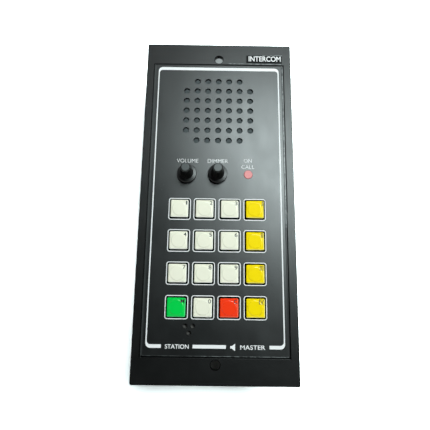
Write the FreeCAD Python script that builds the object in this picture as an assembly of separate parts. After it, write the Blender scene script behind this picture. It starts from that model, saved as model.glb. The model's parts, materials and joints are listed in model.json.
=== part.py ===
import FreeCAD, Part
import math
import os

# A console-mounted desk intercom station: a black front panel with a printed overlay, a speaker
# grille, two knobs, a call lamp and sixteen keys, on a plated steel case that holds the works.
# Lengths are millimetres. The station lies on the case's back: X runs across the panel, Y up it
# towards the speaker, and Z out of its face. The origin is the middle of the case's back.

Vector = FreeCAD.Vector
UP = Vector(0, 0, 1)
FULL_TURN = 360.0

# The keys, from the top row down, each row from the left
KEY_NAMES = ("key_1", "key_2", "key_3", "key_i",
             "key_4", "key_5", "key_6", "key_ii",
             "key_7", "key_8", "key_9", "key_iii",
             "key_m", "key_0", "key_c", "key_iv")

# Rear case of folded steel, and the pillars that hold it to the panel. The panel in front and all
# that is behind it follow the case's width and height.
case_width = 114.0
case_height = 236.0
case_depth = 58.0
case_wall = 1.5
case_corner_radius = 2.0
case_fold_radius = 1.2
pillar_inset = 6.0
pillar_flats = 7.0
case_screw_radius = 1.5
case_screw_head_radius = 2.8
case_screw_head_height = 1.3
case_screw_length = 9.0
case_screw_slot_width = 0.8
case_screw_slot_depth = 0.6
vent_count = 9
vent_width = 2.5
vent_length = 22.0
vent_pitch = 7.0
vent_group_y_share = 0.22
cable_entry_radius = 6.0
cable_entry_z_share = 0.36

# Front panel, which overlaps the case on all sides
panel_side_margin = 5.5
panel_end_margin = 22.0
panel_thickness = 3.0
panel_corner_radius = 1.2
panel_edge_radius = 0.5
mounting_hole_radius = 3.25
mounting_hole_inset = 14.5
mounting_hole_chamfer = 0.6

# Recess in the panel's face, and the printed overlay that lies in it
recess_side_margin = 6.3
recess_end_margin = 19.0
recess_depth = 0.8
recess_corner_radius = 1.5
overlay_side_gap = 1.5
overlay_end_gap = 1.2
overlay_thickness = 0.5
overlay_corner_radius = 1.0

# Stick-on label beside the top mounting hole
label_width = 31.0
label_height = 7.2
label_thickness = 0.25
label_corner_radius = 0.4
label_right_inset = 7.6
label_recess_gap = 1.6

# Speaker grille: a square grid of holes that leaves its corners out
grille_count = 7
grille_pitch = 9.0
grille_hole_radius = 2.55

# Row of controls: volume knob, dimmer knob and call lamp
control_pitch = 25.0

# Keypad
key_rows = 4
key_columns = 4
key_pitch_x = 20.0
key_pitch_y = 25.4
key_window = 16.4
key_window_radius = 1.2
key_travel = 3.0

# One key: a hollow cap with a flange that holds it under the panel, and the plunger inside it
cap_width = 14.0
cap_corner_radius = 1.0
cap_bevel_width = 0.8
cap_bevel_drop = 0.4
cap_edge_radius = 0.25
cap_wall = 1.0
cap_top_thickness = 1.1
cap_rise = 1.7
cap_dome_margin = 0.35
cap_dome_rim_width = 0.85
cap_dome_rise = 0.3
cap_flange_width = 17.8
cap_flange_thickness = 1.2
cap_flange_gap = 0.2
plunger_head_gap = 0.2
plunger_head_thickness = 1.5
plunger_stem_radius = 3.6
plunger_stem_depth = 4.0
plunger_clearance = 0.25
cap_dome_radius = cap_width / 2 - cap_bevel_width - cap_dome_margin
cap_dome_flat_radius = cap_dome_radius - cap_dome_rim_width
plunger_head_radius = cap_width / 2 - cap_wall - plunger_head_gap

# Switch housings under the keys
switch_width = 13.6
switch_corner_radius = 0.8
switch_floor = 0.8
switch_gap = 0.4
stem_end_gap = 0.5

# Gaps above the speaker, the controls, the keypad and the microphone, as shares of the height in the
# case that they leave free. What is left lies below the microphone.
layout_gap_shares = (0.133, 0.336, 0.271, 0.020)

# Microphone behind three holes in a triangle
microphone_x = -20.1
microphone_hole_radius = 1.8
microphone_hole_circle_radius = 3.35
microphone_hole_count = 3
capsule_radius = 4.85
capsule_height = 6.5
capsule_clearance = 0.05
boot_wall = 0.7
boot_lip = 1.0

# Knobs: a skirt that rises to a fluted body, which tapers, and a grey cap in its end
knob_gap = 0.6
knob_skirt_radius = 7.9
knob_skirt_height = 2.9
knob_skirt_slope_rise = 0.5
knob_skirt_edge = 0.3
knob_base_radius = 5.4
knob_top_radius = 3.95
knob_height = 16.9
knob_edge_radius = 0.35
knob_flute_count = 20
knob_flute_radius = 0.4
knob_flute_foot = 1.2
knob_cavity_radius = 6.4
knob_cavity_depth = 2.0
knob_cap_radius = 3.2
knob_cap_seat = 0.9
knob_cap_rise = 0.6
knob_cap_edge = 0.3
knob_cap_clearance = 0.05

# Potentiometers
pot_body_radius = 8.0
pot_body_height = 8.5
pot_bushing_radius = 3.5
pot_bushing_rise = 2.5
pot_lug_width = 1.2
pot_lug_thickness = 0.6
pot_lug_pitch = 5.0
pot_lug_count = 3
pot_shaft_radius = 3.0
pot_shaft_clearance = 0.05
pot_shaft_depth = 6.0
pot_shaft_reach = 13.0
pot_nut_flats = 10.0
pot_nut_thickness = 2.0
bushing_clearance = 0.1
nut_surround = 0.6

# Call lamp: a red lens in the panel over a round diode on a spacer
lens_radius = 3.5
lens_height = 1.0
lens_edge = 0.3
lens_stem_radius = 2.8
lens_stem_gap = 0.5
lens_clearance = 0.1
diode_radius = 2.5
diode_height = 8.6
diode_rim_radius = 2.9
diode_rim_height = 1.0
diode_gap = 0.3
lamp_spacer_wall = 1.4

# Speaker behind the grille
screen_thickness = 0.4
speaker_gasket_thickness = 1.6
speaker_ear = 6.0
speaker_corner_radius = 6.0
speaker_opening_margin = 1.5
speaker_flange_thickness = 1.2
cone_rim_width = 2.5
cone_thickness = 0.4
cone_depth = 9.0
cone_neck_radius = 7.5
dust_cap_rise = 3.0
basket_depth = 13.5
basket_wall = 1.0
basket_foot_radius = 15.0
basket_floor = 1.5
basket_window_count = 4
basket_window_width = 15.0
voice_coil_gap = 0.8
magnet_radius = 18.0
magnet_height = 9.0
pole_radius = 6.6
yoke_radius = 16.5
yoke_thickness = 3.0

# Circuit board behind the keys, hung from studs in the panel
board_thickness = 1.6
stud_radius = 1.5
stud_hole_clearance = 0.2
stud_end = 0.8
spacer_radius = 3.0
nut_flats = 5.5
nut_thickness = 2.4
board_gap = 0.8
control_board_margin = 12.0

# Foam seal round the case, under the panel's rim
seal_thickness = 1.5
seal_width = 3.0
seal_gap = 0.3

# Main circuit board on standoffs in the case
main_board_side_gap = 7.5
main_board_end_gap = 16.5
standoff_height = 6.0
standoff_radius = 3.0
standoff_inset = 5.0
standoff_screw_radius = 1.4
standoff_head_radius = 2.6
standoff_head_height = 1.6

# Audio transformer: a laminated core round a wound bobbin
transformer_x = 20.0
transformer_y_share = -0.26
core_length = 36.0
core_headroom = 7.2
core_thickness = 15.0
core_limb = 6.0
winding_depth = 26.0
winding_gap = 0.3

# Other parts on the main board
capacitor_radius = 6.25
capacitor_height = 20.0
capacitor_pitch = 15.0
capacitor_count = 4
capacitor_groove = 0.4
capacitor_groove_height = 2.5
capacitor_inset = 8.0
capacitor_first_y_share = -0.36
chip_width = 7.0
chip_height = 3.4
chip_lift = 0.6
chip_leg_pitch = 2.54
chip_leg_width = 0.5
chip_leg_thickness = 0.3
chip_leg_counts = (8, 8, 7, 10)
chip_x = 8.0
chip_first_y_share = -0.07
chip_pitch_y = 14.0
heat_sink_length = 60.0
heat_sink_base = 2.5
heat_sink_height = 17.0
heat_sink_fin_count = 8
heat_sink_fin_thickness = 1.2
heat_sink_fin_depth = 8.0
heat_sink_inset = 8.0
heat_sink_y_share = 0.26
amplifier_width = 10.0
amplifier_height = 15.0
amplifier_thickness = 4.5
amplifier_lift = 1.0
amplifier_leg_width = 0.9
amplifier_leg_count = 5
amplifier_leg_pitch = 1.7

# Flat cable between the two boards, with a header at each end
ribbon_x = -12.0
ribbon_drop = 29.6
ribbon_width = 18.0
ribbon_thickness = 0.9
ribbon_offset = 18.0
ribbon_bend = 4.0
header_depth = 6.0
header_height = 6.0
header_end = 2.5

# Terminal block in the case's lower end, and the earth stud beside it. The stud's root is clamped
# in the wall by two nuts, and its thinner post outside them takes the earth wire's ring.
terminal_count = 12
terminal_pitch = 5.08
terminal_depth = 13.0
terminal_height = 13.0
terminal_reach = 1.5
terminal_entry_width = 3.0
terminal_entry_height = 4.0
terminal_entry_rise = 2.0
terminal_entry_depth = 8.0
terminal_screw_radius = 1.6
terminal_screw_depth = 3.0
terminal_slot_width = 0.6
terminal_slot_depth = 0.8
terminal_window_gap = 0.4
earth_root_radius = 2.5
earth_post_radius = 2.0
earth_post_length = 7.5
earth_post_edge = 0.3
earth_stud_inset = 14.5
earth_stud_height = 20.0
earth_stud_clearance = 0.1
earth_nut_flats = 8.0
earth_nut_thickness = 3.2
earth_washer_radius = 5.0
earth_washer_thickness = 0.8

cut_overrun = 1.0

# Outlines that follow the case
panel_width = case_width + 2 * panel_side_margin
panel_height = case_height + 2 * panel_end_margin
recess_width = panel_width - 2 * recess_side_margin
recess_height = panel_height - 2 * recess_end_margin
overlay_width = recess_width - 2 * overlay_side_gap
overlay_height = recess_height - 2 * overlay_end_gap
mounting_hole_spacing = panel_height - 2 * mounting_hole_inset
case_inner_width = case_width - 2 * case_wall
case_inner_height = case_height - 2 * case_wall
main_board_width = case_inner_width - 2 * main_board_side_gap
main_board_height = case_inner_height - 2 * main_board_end_gap

# Levels, from the case's back upwards
panel_back = case_depth
panel_face = panel_back + panel_thickness
recess_floor = panel_face - recess_depth
overlay_face = recess_floor + overlay_thickness
cap_top = panel_face + cap_rise
flange_top = panel_back - cap_flange_gap
flange_bottom = flange_top - cap_flange_thickness
switch_top = flange_bottom - key_travel - switch_gap
switch_height = plunger_stem_depth + key_travel + stem_end_gap + switch_floor
board_top = switch_top - switch_height
board_bottom = board_top - board_thickness
main_board_bottom = case_wall + standoff_height
main_board_top = main_board_bottom + board_thickness
knob_bottom = overlay_face + knob_gap
knob_top = overlay_face + knob_height
speaker_seat = panel_back - screen_thickness - speaker_gasket_thickness
basket_top = speaker_seat - cone_thickness
basket_bottom = basket_top - speaker_flange_thickness - basket_depth

# Layout up the panel: the speaker, the controls, the keypad and the microphone share out the height
# that is free inside the case
speaker_screw_offset = (grille_count - 1) / 2 * grille_pitch
speaker_opening_radius = speaker_screw_offset + speaker_opening_margin
speaker_half_width = speaker_screw_offset + speaker_ear
keypad_half_width = ((key_columns - 1) * key_pitch_x + cap_flange_width) / 2
keypad_half_height = ((key_rows - 1) * key_pitch_y + cap_flange_width) / 2
boot_radius = capsule_radius + capsule_clearance + boot_wall
layout_taken = 2 * (speaker_half_width + pot_body_radius + keypad_half_height + boot_radius)
layout_free = case_inner_height - layout_taken
layout_gaps = [layout_free * share for share in layout_gap_shares]
grille_centre_y = case_inner_height / 2 - layout_gaps[0] - speaker_half_width
control_y = grille_centre_y - speaker_half_width - layout_gaps[1] - pot_body_radius
keypad_centre_y = control_y - pot_body_radius - layout_gaps[2] - keypad_half_height
microphone_y = keypad_centre_y - keypad_half_height - layout_gaps[3] - boot_radius

# Other places
volume_x = -control_pitch
dimmer_x = 0.0
lamp_x = control_pitch
stud_x = (keypad_half_width + case_inner_width / 2) / 2
pillar_corner_radius = pillar_flats / math.sqrt(3)
pillar_x = case_inner_width / 2 - pillar_inset
pillar_y = case_inner_height / 2 - pillar_inset
board_low_y = -pillar_y + pillar_corner_radius + board_gap
board_high_y = control_y + control_board_margin
standoff_x = main_board_width / 2 - standoff_inset
standoff_y = main_board_height / 2 - standoff_inset
core_height = board_bottom - main_board_top - core_headroom
transformer_y = transformer_y_share * main_board_height
capacitor_x = -main_board_width / 2 + capacitor_inset
capacitor_first_y = capacitor_first_y_share * main_board_height
chip_first_y = chip_first_y_share * main_board_height
heat_sink_x = -main_board_width / 2 + heat_sink_inset
heat_sink_y = heat_sink_y_share * main_board_height
ribbon_y = keypad_centre_y - ribbon_drop
vent_centre_y = vent_group_y_share * case_height
terminal_length = terminal_count * terminal_pitch
earth_stud_x = case_inner_width / 2 - earth_stud_inset
earth_nut_corner_radius = earth_nut_flats / math.sqrt(3)
terminal_x = ((earth_stud_x - earth_nut_corner_radius) - (pillar_x - pillar_corner_radius)) / 2


def block(centre_x, centre_y, size_x, size_y, low_z, high_z):
    """A box between two levels, centred on a point."""
    corner = Vector(centre_x - size_x / 2, centre_y - size_y / 2, low_z)
    return Part.makeBox(size_x, size_y, high_z - low_z, corner)


def upright_edges(solid):
    """The straight edges that run along Z."""
    found = []
    for edge in solid.Edges:
        run = edge.Vertexes[-1].Point - edge.Vertexes[0].Point
        if run.Length > 0 and math.isclose(abs(run.z), run.Length):
            found.append(edge)
    return found


def rounded_block(centre_x, centre_y, size_x, size_y, low_z, high_z, radius):
    """A box with its upright edges rounded."""
    solid = block(centre_x, centre_y, size_x, size_y, low_z, high_z)
    return solid.makeFillet(radius, upright_edges(solid))


def rounded_outline(centre_x, centre_y, size_x, size_y, level, radius):
    """The outline of a rounded block at one level."""
    solid = rounded_block(centre_x, centre_y, size_x, size_y, level, level + radius, radius)
    lowest = min(solid.Faces, key=lambda face: face.CenterOfMass.z)
    return lowest.OuterWire


def edges_at(solid, level):
    """The edges that lie in one level."""
    return [edge for edge in solid.Edges
            if all(math.isclose(vertex.Z, level, abs_tol=1e-6) for vertex in edge.Vertexes)]


def cylinder(x, y, low_z, high_z, radius):
    """An upright cylinder between two levels."""
    return Part.makeCylinder(radius, high_z - low_z, Vector(x, y, low_z))


def tube(x, y, low_z, high_z, outer_radius, inner_radius):
    """An upright tube between two levels."""
    bore = cylinder(x, y, low_z - cut_overrun, high_z + cut_overrun, inner_radius)
    return cylinder(x, y, low_z, high_z, outer_radius).cut(bore)


def hexagon(x, y, flats, low_z, high_z):
    """An upright hexagonal bar between two levels."""
    corner_radius = flats / math.sqrt(3)
    points = [Vector(x + corner_radius * math.cos(math.radians(60 * side)),
                     y + corner_radius * math.sin(math.radians(60 * side)), low_z) for side in range(7)]
    face = Part.Face(Part.makePolygon(points))
    return face.extrude(Vector(0, 0, high_z - low_z))


def turned(outline, x, y):
    """A solid turned from an outline of radius and level pairs, set on an upright axis."""
    points = [Vector(radius, 0, level) for radius, level in outline]
    face = Part.Face(Part.makePolygon(points + points[:1]))
    solid = face.revolve(Vector(0, 0, 0), UP, FULL_TURN)
    solid.translate(Vector(x, y, 0))
    return solid


def grille_places():
    """Hole centres of the grille, without the corners, where the speaker's screws are."""
    middle = (grille_count - 1) / 2
    places = []
    for row in range(grille_count):
        for column in range(grille_count):
            corner = abs(row - middle) == middle and abs(column - middle) == middle
            if not corner:
                places.append(((column - middle) * grille_pitch,
                               grille_centre_y + (middle - row) * grille_pitch))
    return places


def speaker_screw_places():
    """The four corners that the grille leaves out."""
    return [(side * speaker_screw_offset, grille_centre_y + end * speaker_screw_offset)
            for side in (-1, 1) for end in (-1, 1)]


def key_places():
    """Centres of the keys, from the top row down, each row from the left."""
    return [((column - (key_columns - 1) / 2) * key_pitch_x,
             keypad_centre_y + ((key_rows - 1) / 2 - row) * key_pitch_y)
            for row in range(key_rows) for column in range(key_columns)]


def microphone_hole_places():
    """Three holes in a triangle that points down."""
    step = FULL_TURN / microphone_hole_count
    return [(microphone_x + microphone_hole_circle_radius * math.cos(math.radians(-90 + step * hole)),
             microphone_y + microphone_hole_circle_radius * math.sin(math.radians(-90 + step * hole)))
            for hole in range(microphone_hole_count)]


def stud_places():
    """The studs that carry the key board: beside the controls and between the rows of keys."""
    levels = [control_y]
    for gap in range(key_rows - 1):
        if gap % 2 == 0:
            levels.append(keypad_centre_y + ((key_rows - 2) / 2 - gap) * key_pitch_y)
    return [(side * stud_x, level) for level in levels for side in (-1, 1)]


def front_openings(low_z, high_z):
    """The openings that the panel and the overlay share, as solids to cut away."""
    openings = [cylinder(x, y, low_z, high_z, grille_hole_radius) for x, y in grille_places()]
    openings += [rounded_block(x, y, key_window, key_window, low_z, high_z, key_window_radius)
                 for x, y in key_places()]
    openings += [cylinder(x, y, low_z, high_z, microphone_hole_radius)
                 for x, y in microphone_hole_places()]
    return openings


def make_front_panel():
    """The black plate, with its recess, openings and two mounting holes."""
    plate = rounded_block(0, 0, panel_width, panel_height, panel_back, panel_face, panel_corner_radius)
    plate = plate.makeFillet(panel_edge_radius, edges_at(plate, panel_face))
    recess = rounded_block(0, 0, recess_width, recess_height, recess_floor,
                           panel_face + cut_overrun, recess_corner_radius)
    low_z = panel_back - cut_overrun
    high_z = panel_face + cut_overrun
    openings = front_openings(low_z, high_z)
    for x in (volume_x, dimmer_x):
        openings.append(cylinder(x, control_y, low_z, high_z, pot_bushing_radius + bushing_clearance))
    openings.append(cylinder(lamp_x, control_y, low_z, high_z, lens_stem_radius + lens_clearance))
    for end in (-1, 1):
        y = end * mounting_hole_spacing / 2
        openings.append(cylinder(0, y, low_z, high_z, mounting_hole_radius))
        chamfer_foot = Vector(0, y, panel_face - mounting_hole_chamfer)
        openings.append(Part.makeCone(mounting_hole_radius, mounting_hole_radius + mounting_hole_chamfer,
                                      mounting_hole_chamfer, chamfer_foot))
    return plate.cut([recess] + openings)


def make_front_overlay():
    """The printed film in the recess, open over each control."""
    film = rounded_block(0, 0, overlay_width, overlay_height, recess_floor, overlay_face,
                         overlay_corner_radius)
    low_z = recess_floor - cut_overrun
    high_z = overlay_face + cut_overrun
    openings = front_openings(low_z, high_z)
    nut_hole_radius = pot_nut_flats / math.sqrt(3) + nut_surround
    for x in (volume_x, dimmer_x):
        openings.append(cylinder(x, control_y, low_z, high_z, nut_hole_radius))
    openings.append(cylinder(lamp_x, control_y, low_z, high_z, lens_radius + lens_clearance))
    return film.cut(openings)


def make_station_label():
    """The bare stick-on label above the recess's right corner."""
    x = panel_width / 2 - label_right_inset - label_width / 2
    y = recess_height / 2 + label_recess_gap + label_height / 2
    return rounded_block(x, y, label_width, label_height, panel_face, panel_face + label_thickness,
                         label_corner_radius)


def make_panel_seal():
    """The foam frame on the panel's back, round the case."""
    inner_width = case_width + 2 * seal_gap
    inner_height = case_height + 2 * seal_gap
    low_z = panel_back - seal_thickness
    frame = rounded_block(0, 0, inner_width + 2 * seal_width, inner_height + 2 * seal_width,
                          low_z, panel_back, case_corner_radius + seal_width)
    hollow = rounded_block(0, 0, inner_width, inner_height, low_z - cut_overrun,
                           panel_back + cut_overrun, case_corner_radius)
    return frame.cut(hollow)


def make_key_cap(x, y):
    """A hollow square cap with bevelled edges, a low round dome on top and a flange below the panel."""
    bevel_low = cap_top - cap_bevel_drop
    top_width = cap_width - 2 * cap_bevel_width
    bevel = Part.makeLoft([
        rounded_outline(x, y, cap_width, cap_width, bevel_low, cap_corner_radius),
        rounded_outline(x, y, top_width, top_width, cap_top, cap_corner_radius),
    ], True, True)
    shell = rounded_block(x, y, cap_width, cap_width, flange_bottom, bevel_low, cap_corner_radius)
    shell = shell.fuse(bevel).removeSplitter()
    shell = shell.makeFillet(cap_edge_radius, edges_at(shell, cap_top) + edges_at(shell, bevel_low))
    flange = rounded_block(x, y, cap_flange_width, cap_flange_width, flange_bottom, flange_top,
                           cap_corner_radius)
    inner_width = cap_width - 2 * cap_wall
    hollow = block(x, y, inner_width, inner_width, flange_bottom - cut_overrun, cap_top - cap_top_thickness)
    return shell.fuse([flange, make_cap_dome(x, y)]).cut(hollow).removeSplitter()


def make_cap_dome(x, y):
    """The low round dome: flat in the middle, with a rim that curves down to the cap."""
    foot = cap_top - cap_top_thickness / 2
    top = cap_top + cap_dome_rise
    rim_width = cap_dome_radius - cap_dome_flat_radius
    rim_radius = (rim_width ** 2 + cap_dome_rise ** 2) / (2 * cap_dome_rise)
    half_turn = math.asin(rim_width / rim_radius) / 2
    rim_middle = Vector(cap_dome_flat_radius + rim_radius * math.sin(half_turn), 0,
                        top - rim_radius * (1 - math.cos(half_turn)))
    corners = [Vector(cap_dome_radius, 0, cap_top), Vector(cap_dome_radius, 0, foot), Vector(0, 0, foot),
               Vector(0, 0, top), Vector(cap_dome_flat_radius, 0, top)]
    edges = [Part.LineSegment(start, end).toShape() for start, end in zip(corners, corners[1:])]
    edges.append(Part.Arc(corners[-1], rim_middle, corners[0]).toShape())
    dome = Part.Face(Part.Wire(edges)).revolve(Vector(0, 0, 0), UP, FULL_TURN)
    dome.translate(Vector(x, y, 0))
    return dome


def make_plunger(x, y):
    """The round plunger: a lamp window under the cap and a stem into the switch."""
    head_top = cap_top - cap_top_thickness
    head_bottom = head_top - plunger_head_thickness
    head = cylinder(x, y, head_bottom, head_top, plunger_head_radius)
    stem = cylinder(x, y, switch_top - plunger_stem_depth, head_bottom, plunger_stem_radius)
    return head.fuse(stem).removeSplitter()


def make_key(x, y):
    """One key's two pieces."""
    return [make_key_cap(x, y), make_plunger(x, y)]


def make_switch_housing(x, y):
    """A square housing on the key board, open at the top for the plunger's stem."""
    housing = rounded_block(x, y, switch_width, switch_width, board_top, switch_top, switch_corner_radius)
    bore = cylinder(x, y, board_top + switch_floor, switch_top + cut_overrun,
                    plunger_stem_radius + plunger_clearance)
    return housing.cut(bore)


def make_knob(x):
    """A skirted knob with a fluted, tapered body, hollow below for the nut and bored for the shaft."""
    y = control_y
    skirt_top = knob_bottom + knob_skirt_height
    rim_top = skirt_top - knob_skirt_slope_rise
    skirt = cylinder(x, y, knob_bottom, rim_top, knob_skirt_radius)
    skirt = skirt.makeChamfer(knob_skirt_edge, edges_at(skirt, rim_top))
    slope = Part.makeCone(knob_skirt_radius - knob_skirt_edge, knob_base_radius, knob_skirt_slope_rise,
                          Vector(x, y, rim_top))
    body_height = knob_top - skirt_top
    body = Part.makeCone(knob_base_radius, knob_top_radius, body_height, Vector(x, y, skirt_top))
    body = body.makeFillet(knob_edge_radius, edges_at(body, knob_top))
    lean = knob_base_radius - knob_top_radius
    foot_share = knob_flute_foot / body_height
    flutes = []
    for flute in range(knob_flute_count):
        angle = math.radians(FULL_TURN * flute / knob_flute_count)
        outward = Vector(math.cos(angle), math.sin(angle), 0)
        foot = (Vector(x, y, skirt_top + knob_flute_foot)
                + outward * (knob_base_radius - lean * foot_share))
        run = outward * (-lean) + UP * body_height
        flutes.append(Part.makeCylinder(knob_flute_radius, run.Length, foot, run))
    knob = skirt.fuse([slope, body.cut(flutes)])
    cavity = cylinder(x, y, knob_bottom - cut_overrun, knob_bottom + knob_cavity_depth, knob_cavity_radius)
    bore = cylinder(x, y, knob_bottom, overlay_face + pot_shaft_reach,
                    pot_shaft_radius + pot_shaft_clearance)
    seat = cylinder(x, y, knob_top - knob_cap_seat, knob_top + cut_overrun,
                    knob_cap_radius + knob_cap_clearance)
    return knob.cut([cavity, bore, seat]).removeSplitter()


def make_knob_cap(x):
    """The grey disc in the knob's end."""
    top = knob_top + knob_cap_rise
    disc = cylinder(x, control_y, knob_top - knob_cap_seat, top, knob_cap_radius)
    return disc.makeFillet(knob_cap_edge, edges_at(disc, top))


def make_pot_body(x):
    """A potentiometer's can, bushing and soldering lugs, bored for its shaft."""
    y = control_y
    can_bottom = panel_back - pot_body_height
    can = cylinder(x, y, can_bottom, panel_back, pot_body_radius)
    bushing = cylinder(x, y, panel_back, overlay_face + pot_bushing_rise, pot_bushing_radius)
    lugs = [block(x + (lug - (pot_lug_count - 1) / 2) * pot_lug_pitch, y, pot_lug_width,
                  pot_lug_thickness, board_top, can_bottom) for lug in range(pot_lug_count)]
    bore = cylinder(x, y, panel_back - pot_shaft_depth, overlay_face + pot_bushing_rise + cut_overrun,
                    pot_shaft_radius + pot_shaft_clearance)
    return can.fuse([bushing] + lugs).cut(bore).removeSplitter()


def make_pot_nut(x):
    """The nut that clamps a potentiometer to the panel."""
    nut = hexagon(x, control_y, pot_nut_flats, recess_floor, recess_floor + pot_nut_thickness)
    bore = cylinder(x, control_y, recess_floor - cut_overrun,
                    recess_floor + pot_nut_thickness + cut_overrun, pot_bushing_radius)
    return nut.cut(bore)


def make_shaft(x):
    """The shaft that the knob turns."""
    return cylinder(x, control_y, panel_back - pot_shaft_depth, overlay_face + pot_shaft_reach,
                    pot_shaft_radius)


def make_lamp_lens():
    """The red lens: a low disc in the overlay with a stem through the panel."""
    top = recess_floor + lens_height
    disc = cylinder(lamp_x, control_y, recess_floor, top, lens_radius)
    disc = disc.makeFillet(lens_edge, edges_at(disc, top))
    stem = cylinder(lamp_x, control_y, panel_back - lens_stem_gap, recess_floor, lens_stem_radius)
    return disc.fuse(stem).removeSplitter()


def make_lamp_diode():
    """The diode behind the lens: a rim, a round body and a domed end."""
    top = panel_back - lens_stem_gap - diode_gap
    low = top - diode_height
    rim = cylinder(lamp_x, control_y, low, low + diode_rim_height, diode_rim_radius)
    body = cylinder(lamp_x, control_y, low, top - diode_radius, diode_radius)
    dome = Part.makeSphere(diode_radius, Vector(lamp_x, control_y, top - diode_radius))
    return rim.fuse([body, dome]).removeSplitter()


def make_lamp_spacer():
    """The tube that holds the diode up from the key board."""
    low = panel_back - lens_stem_gap - diode_gap - diode_height
    return tube(lamp_x, control_y, board_top, low, diode_rim_radius, diode_rim_radius - lamp_spacer_wall)


def make_microphone_boot():
    """The rubber cup between the panel and the key board that holds the microphone."""
    cup = cylinder(microphone_x, microphone_y, board_top, panel_back, boot_radius)
    hollow = cylinder(microphone_x, microphone_y, panel_back - boot_lip - capsule_height,
                      panel_back + cut_overrun, capsule_radius + capsule_clearance)
    return cup.cut(hollow)


def make_microphone_capsule():
    """The microphone capsule on the floor of its cup."""
    low = panel_back - boot_lip - capsule_height
    return cylinder(microphone_x, microphone_y, low, low + capsule_height, capsule_radius)


def speaker_plate(low_z, high_z, opening_radius):
    """A square plate behind the grille with a stud hole in each corner and a round opening."""
    size = 2 * speaker_half_width
    plate = rounded_block(0, grille_centre_y, size, size, low_z, high_z, speaker_corner_radius)
    holes = [cylinder(x, y, low_z - cut_overrun, high_z + cut_overrun, stud_radius + stud_hole_clearance)
             for x, y in speaker_screw_places()]
    if opening_radius:
        holes.append(cylinder(0, grille_centre_y, low_z - cut_overrun, high_z + cut_overrun, opening_radius))
    return plate.cut(holes)


def make_grille_screen():
    """The fine mesh behind the grille's holes."""
    return speaker_plate(panel_back - screen_thickness, panel_back, 0)


def make_speaker_gasket():
    """The foam plate between the mesh and the speaker."""
    return speaker_plate(speaker_seat, panel_back - screen_thickness,
                         speaker_opening_radius)


def make_speaker_basket():
    """The pressed frame: a square flange and a windowed cone down to the magnet."""
    flange_low = basket_top - speaker_flange_thickness
    flange = speaker_plate(flange_low, basket_top, speaker_opening_radius)
    rim = speaker_opening_radius + basket_wall
    frame = turned([
        (speaker_opening_radius, basket_top),
        (rim, basket_top),
        (rim, flange_low),
        (basket_foot_radius, basket_bottom + basket_floor),
        (basket_foot_radius, basket_bottom),
        (cone_neck_radius + voice_coil_gap, basket_bottom),
        (cone_neck_radius + voice_coil_gap, basket_bottom + basket_floor),
        (basket_foot_radius - basket_wall, basket_bottom + basket_floor),
        (speaker_opening_radius, flange_low),
    ], 0, grille_centre_y)
    windows = []
    for window in range(basket_window_count):
        opening = Part.makeBox(rim, basket_window_width, basket_depth - 2 * basket_floor,
                               Vector(basket_foot_radius, -basket_window_width / 2,
                                      basket_bottom + 2 * basket_floor))
        opening.rotate(Vector(0, 0, 0), UP, FULL_TURN * window / basket_window_count)
        opening.translate(Vector(0, grille_centre_y, 0))
        windows.append(opening)
    return flange.fuse(frame.cut(windows)).removeSplitter()


def make_speaker_cone():
    """The paper cone with its rim on the flange, its dust cap and its voice coil tube."""
    low = basket_top - cone_depth
    rim = speaker_opening_radius
    cone = turned([
        (rim + cone_rim_width, speaker_seat),
        (rim - cone_rim_width, speaker_seat),
        (cone_neck_radius, low + cone_thickness),
        (cone_neck_radius, basket_bottom),
        (cone_neck_radius - cone_thickness, basket_bottom),
        (cone_neck_radius - cone_thickness, low + cone_thickness),
        (0, low + dust_cap_rise),
        (0, low + dust_cap_rise + cone_thickness),
        (cone_neck_radius - cone_thickness, low + 2 * cone_thickness),
        (cone_neck_radius, low + 2 * cone_thickness),
        (rim - cone_rim_width, speaker_seat + cone_thickness),
        (rim + cone_rim_width, speaker_seat + cone_thickness),
    ], 0, grille_centre_y)
    cone.translate(Vector(0, 0, -cone_thickness))
    return cone


def make_speaker_magnet():
    """The ring magnet, and the yoke whose pole stands inside the voice coil."""
    magnet_bottom = basket_bottom - magnet_height
    ring = tube(0, grille_centre_y, magnet_bottom, basket_bottom, magnet_radius,
                cone_neck_radius + voice_coil_gap)
    plate = cylinder(0, grille_centre_y, magnet_bottom - yoke_thickness, magnet_bottom, yoke_radius)
    pole = cylinder(0, grille_centre_y, magnet_bottom, basket_bottom, pole_radius)
    return [ring, plate.fuse(pole).removeSplitter()]


def make_stud_with_nut(x, y, seat):
    """A panel stud and the nut on it that clamps up to a level."""
    low = seat - nut_thickness - stud_end
    stud = cylinder(x, y, low, panel_back, stud_radius)
    nut = hexagon(x, y, nut_flats, seat - nut_thickness, seat).cut(
        cylinder(x, y, seat - nut_thickness - cut_overrun, seat + cut_overrun, stud_radius))
    return stud, nut


def make_key_board():
    """The board behind the keys and controls, with its stud holes."""
    height = board_high_y - board_low_y
    board = block(0, (board_high_y + board_low_y) / 2, case_inner_width - 2 * board_gap, height,
                  board_bottom, board_top)
    return board.cut([cylinder(x, y, board_bottom - cut_overrun, board_top + cut_overrun,
                               stud_radius + stud_hole_clearance) for x, y in stud_places()])


def pillar_places():
    """The four corners of the case."""
    return [(side * pillar_x, end * pillar_y) for side in (-1, 1) for end in (-1, 1)]


def make_vent_cutter(y, middle):
    """A bar across the case that cuts a round-ended vent in each side."""
    length = case_width + 2 * cut_overrun
    straight = (vent_length - vent_width) / 2
    bar = block(0, y, length, vent_width, middle - straight, middle + straight)
    ends = [Part.makeCylinder(vent_width / 2, length, Vector(-length / 2, y, middle + side * straight),
                              Vector(1, 0, 0)) for side in (-1, 1)]
    return bar.fuse(ends)


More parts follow.
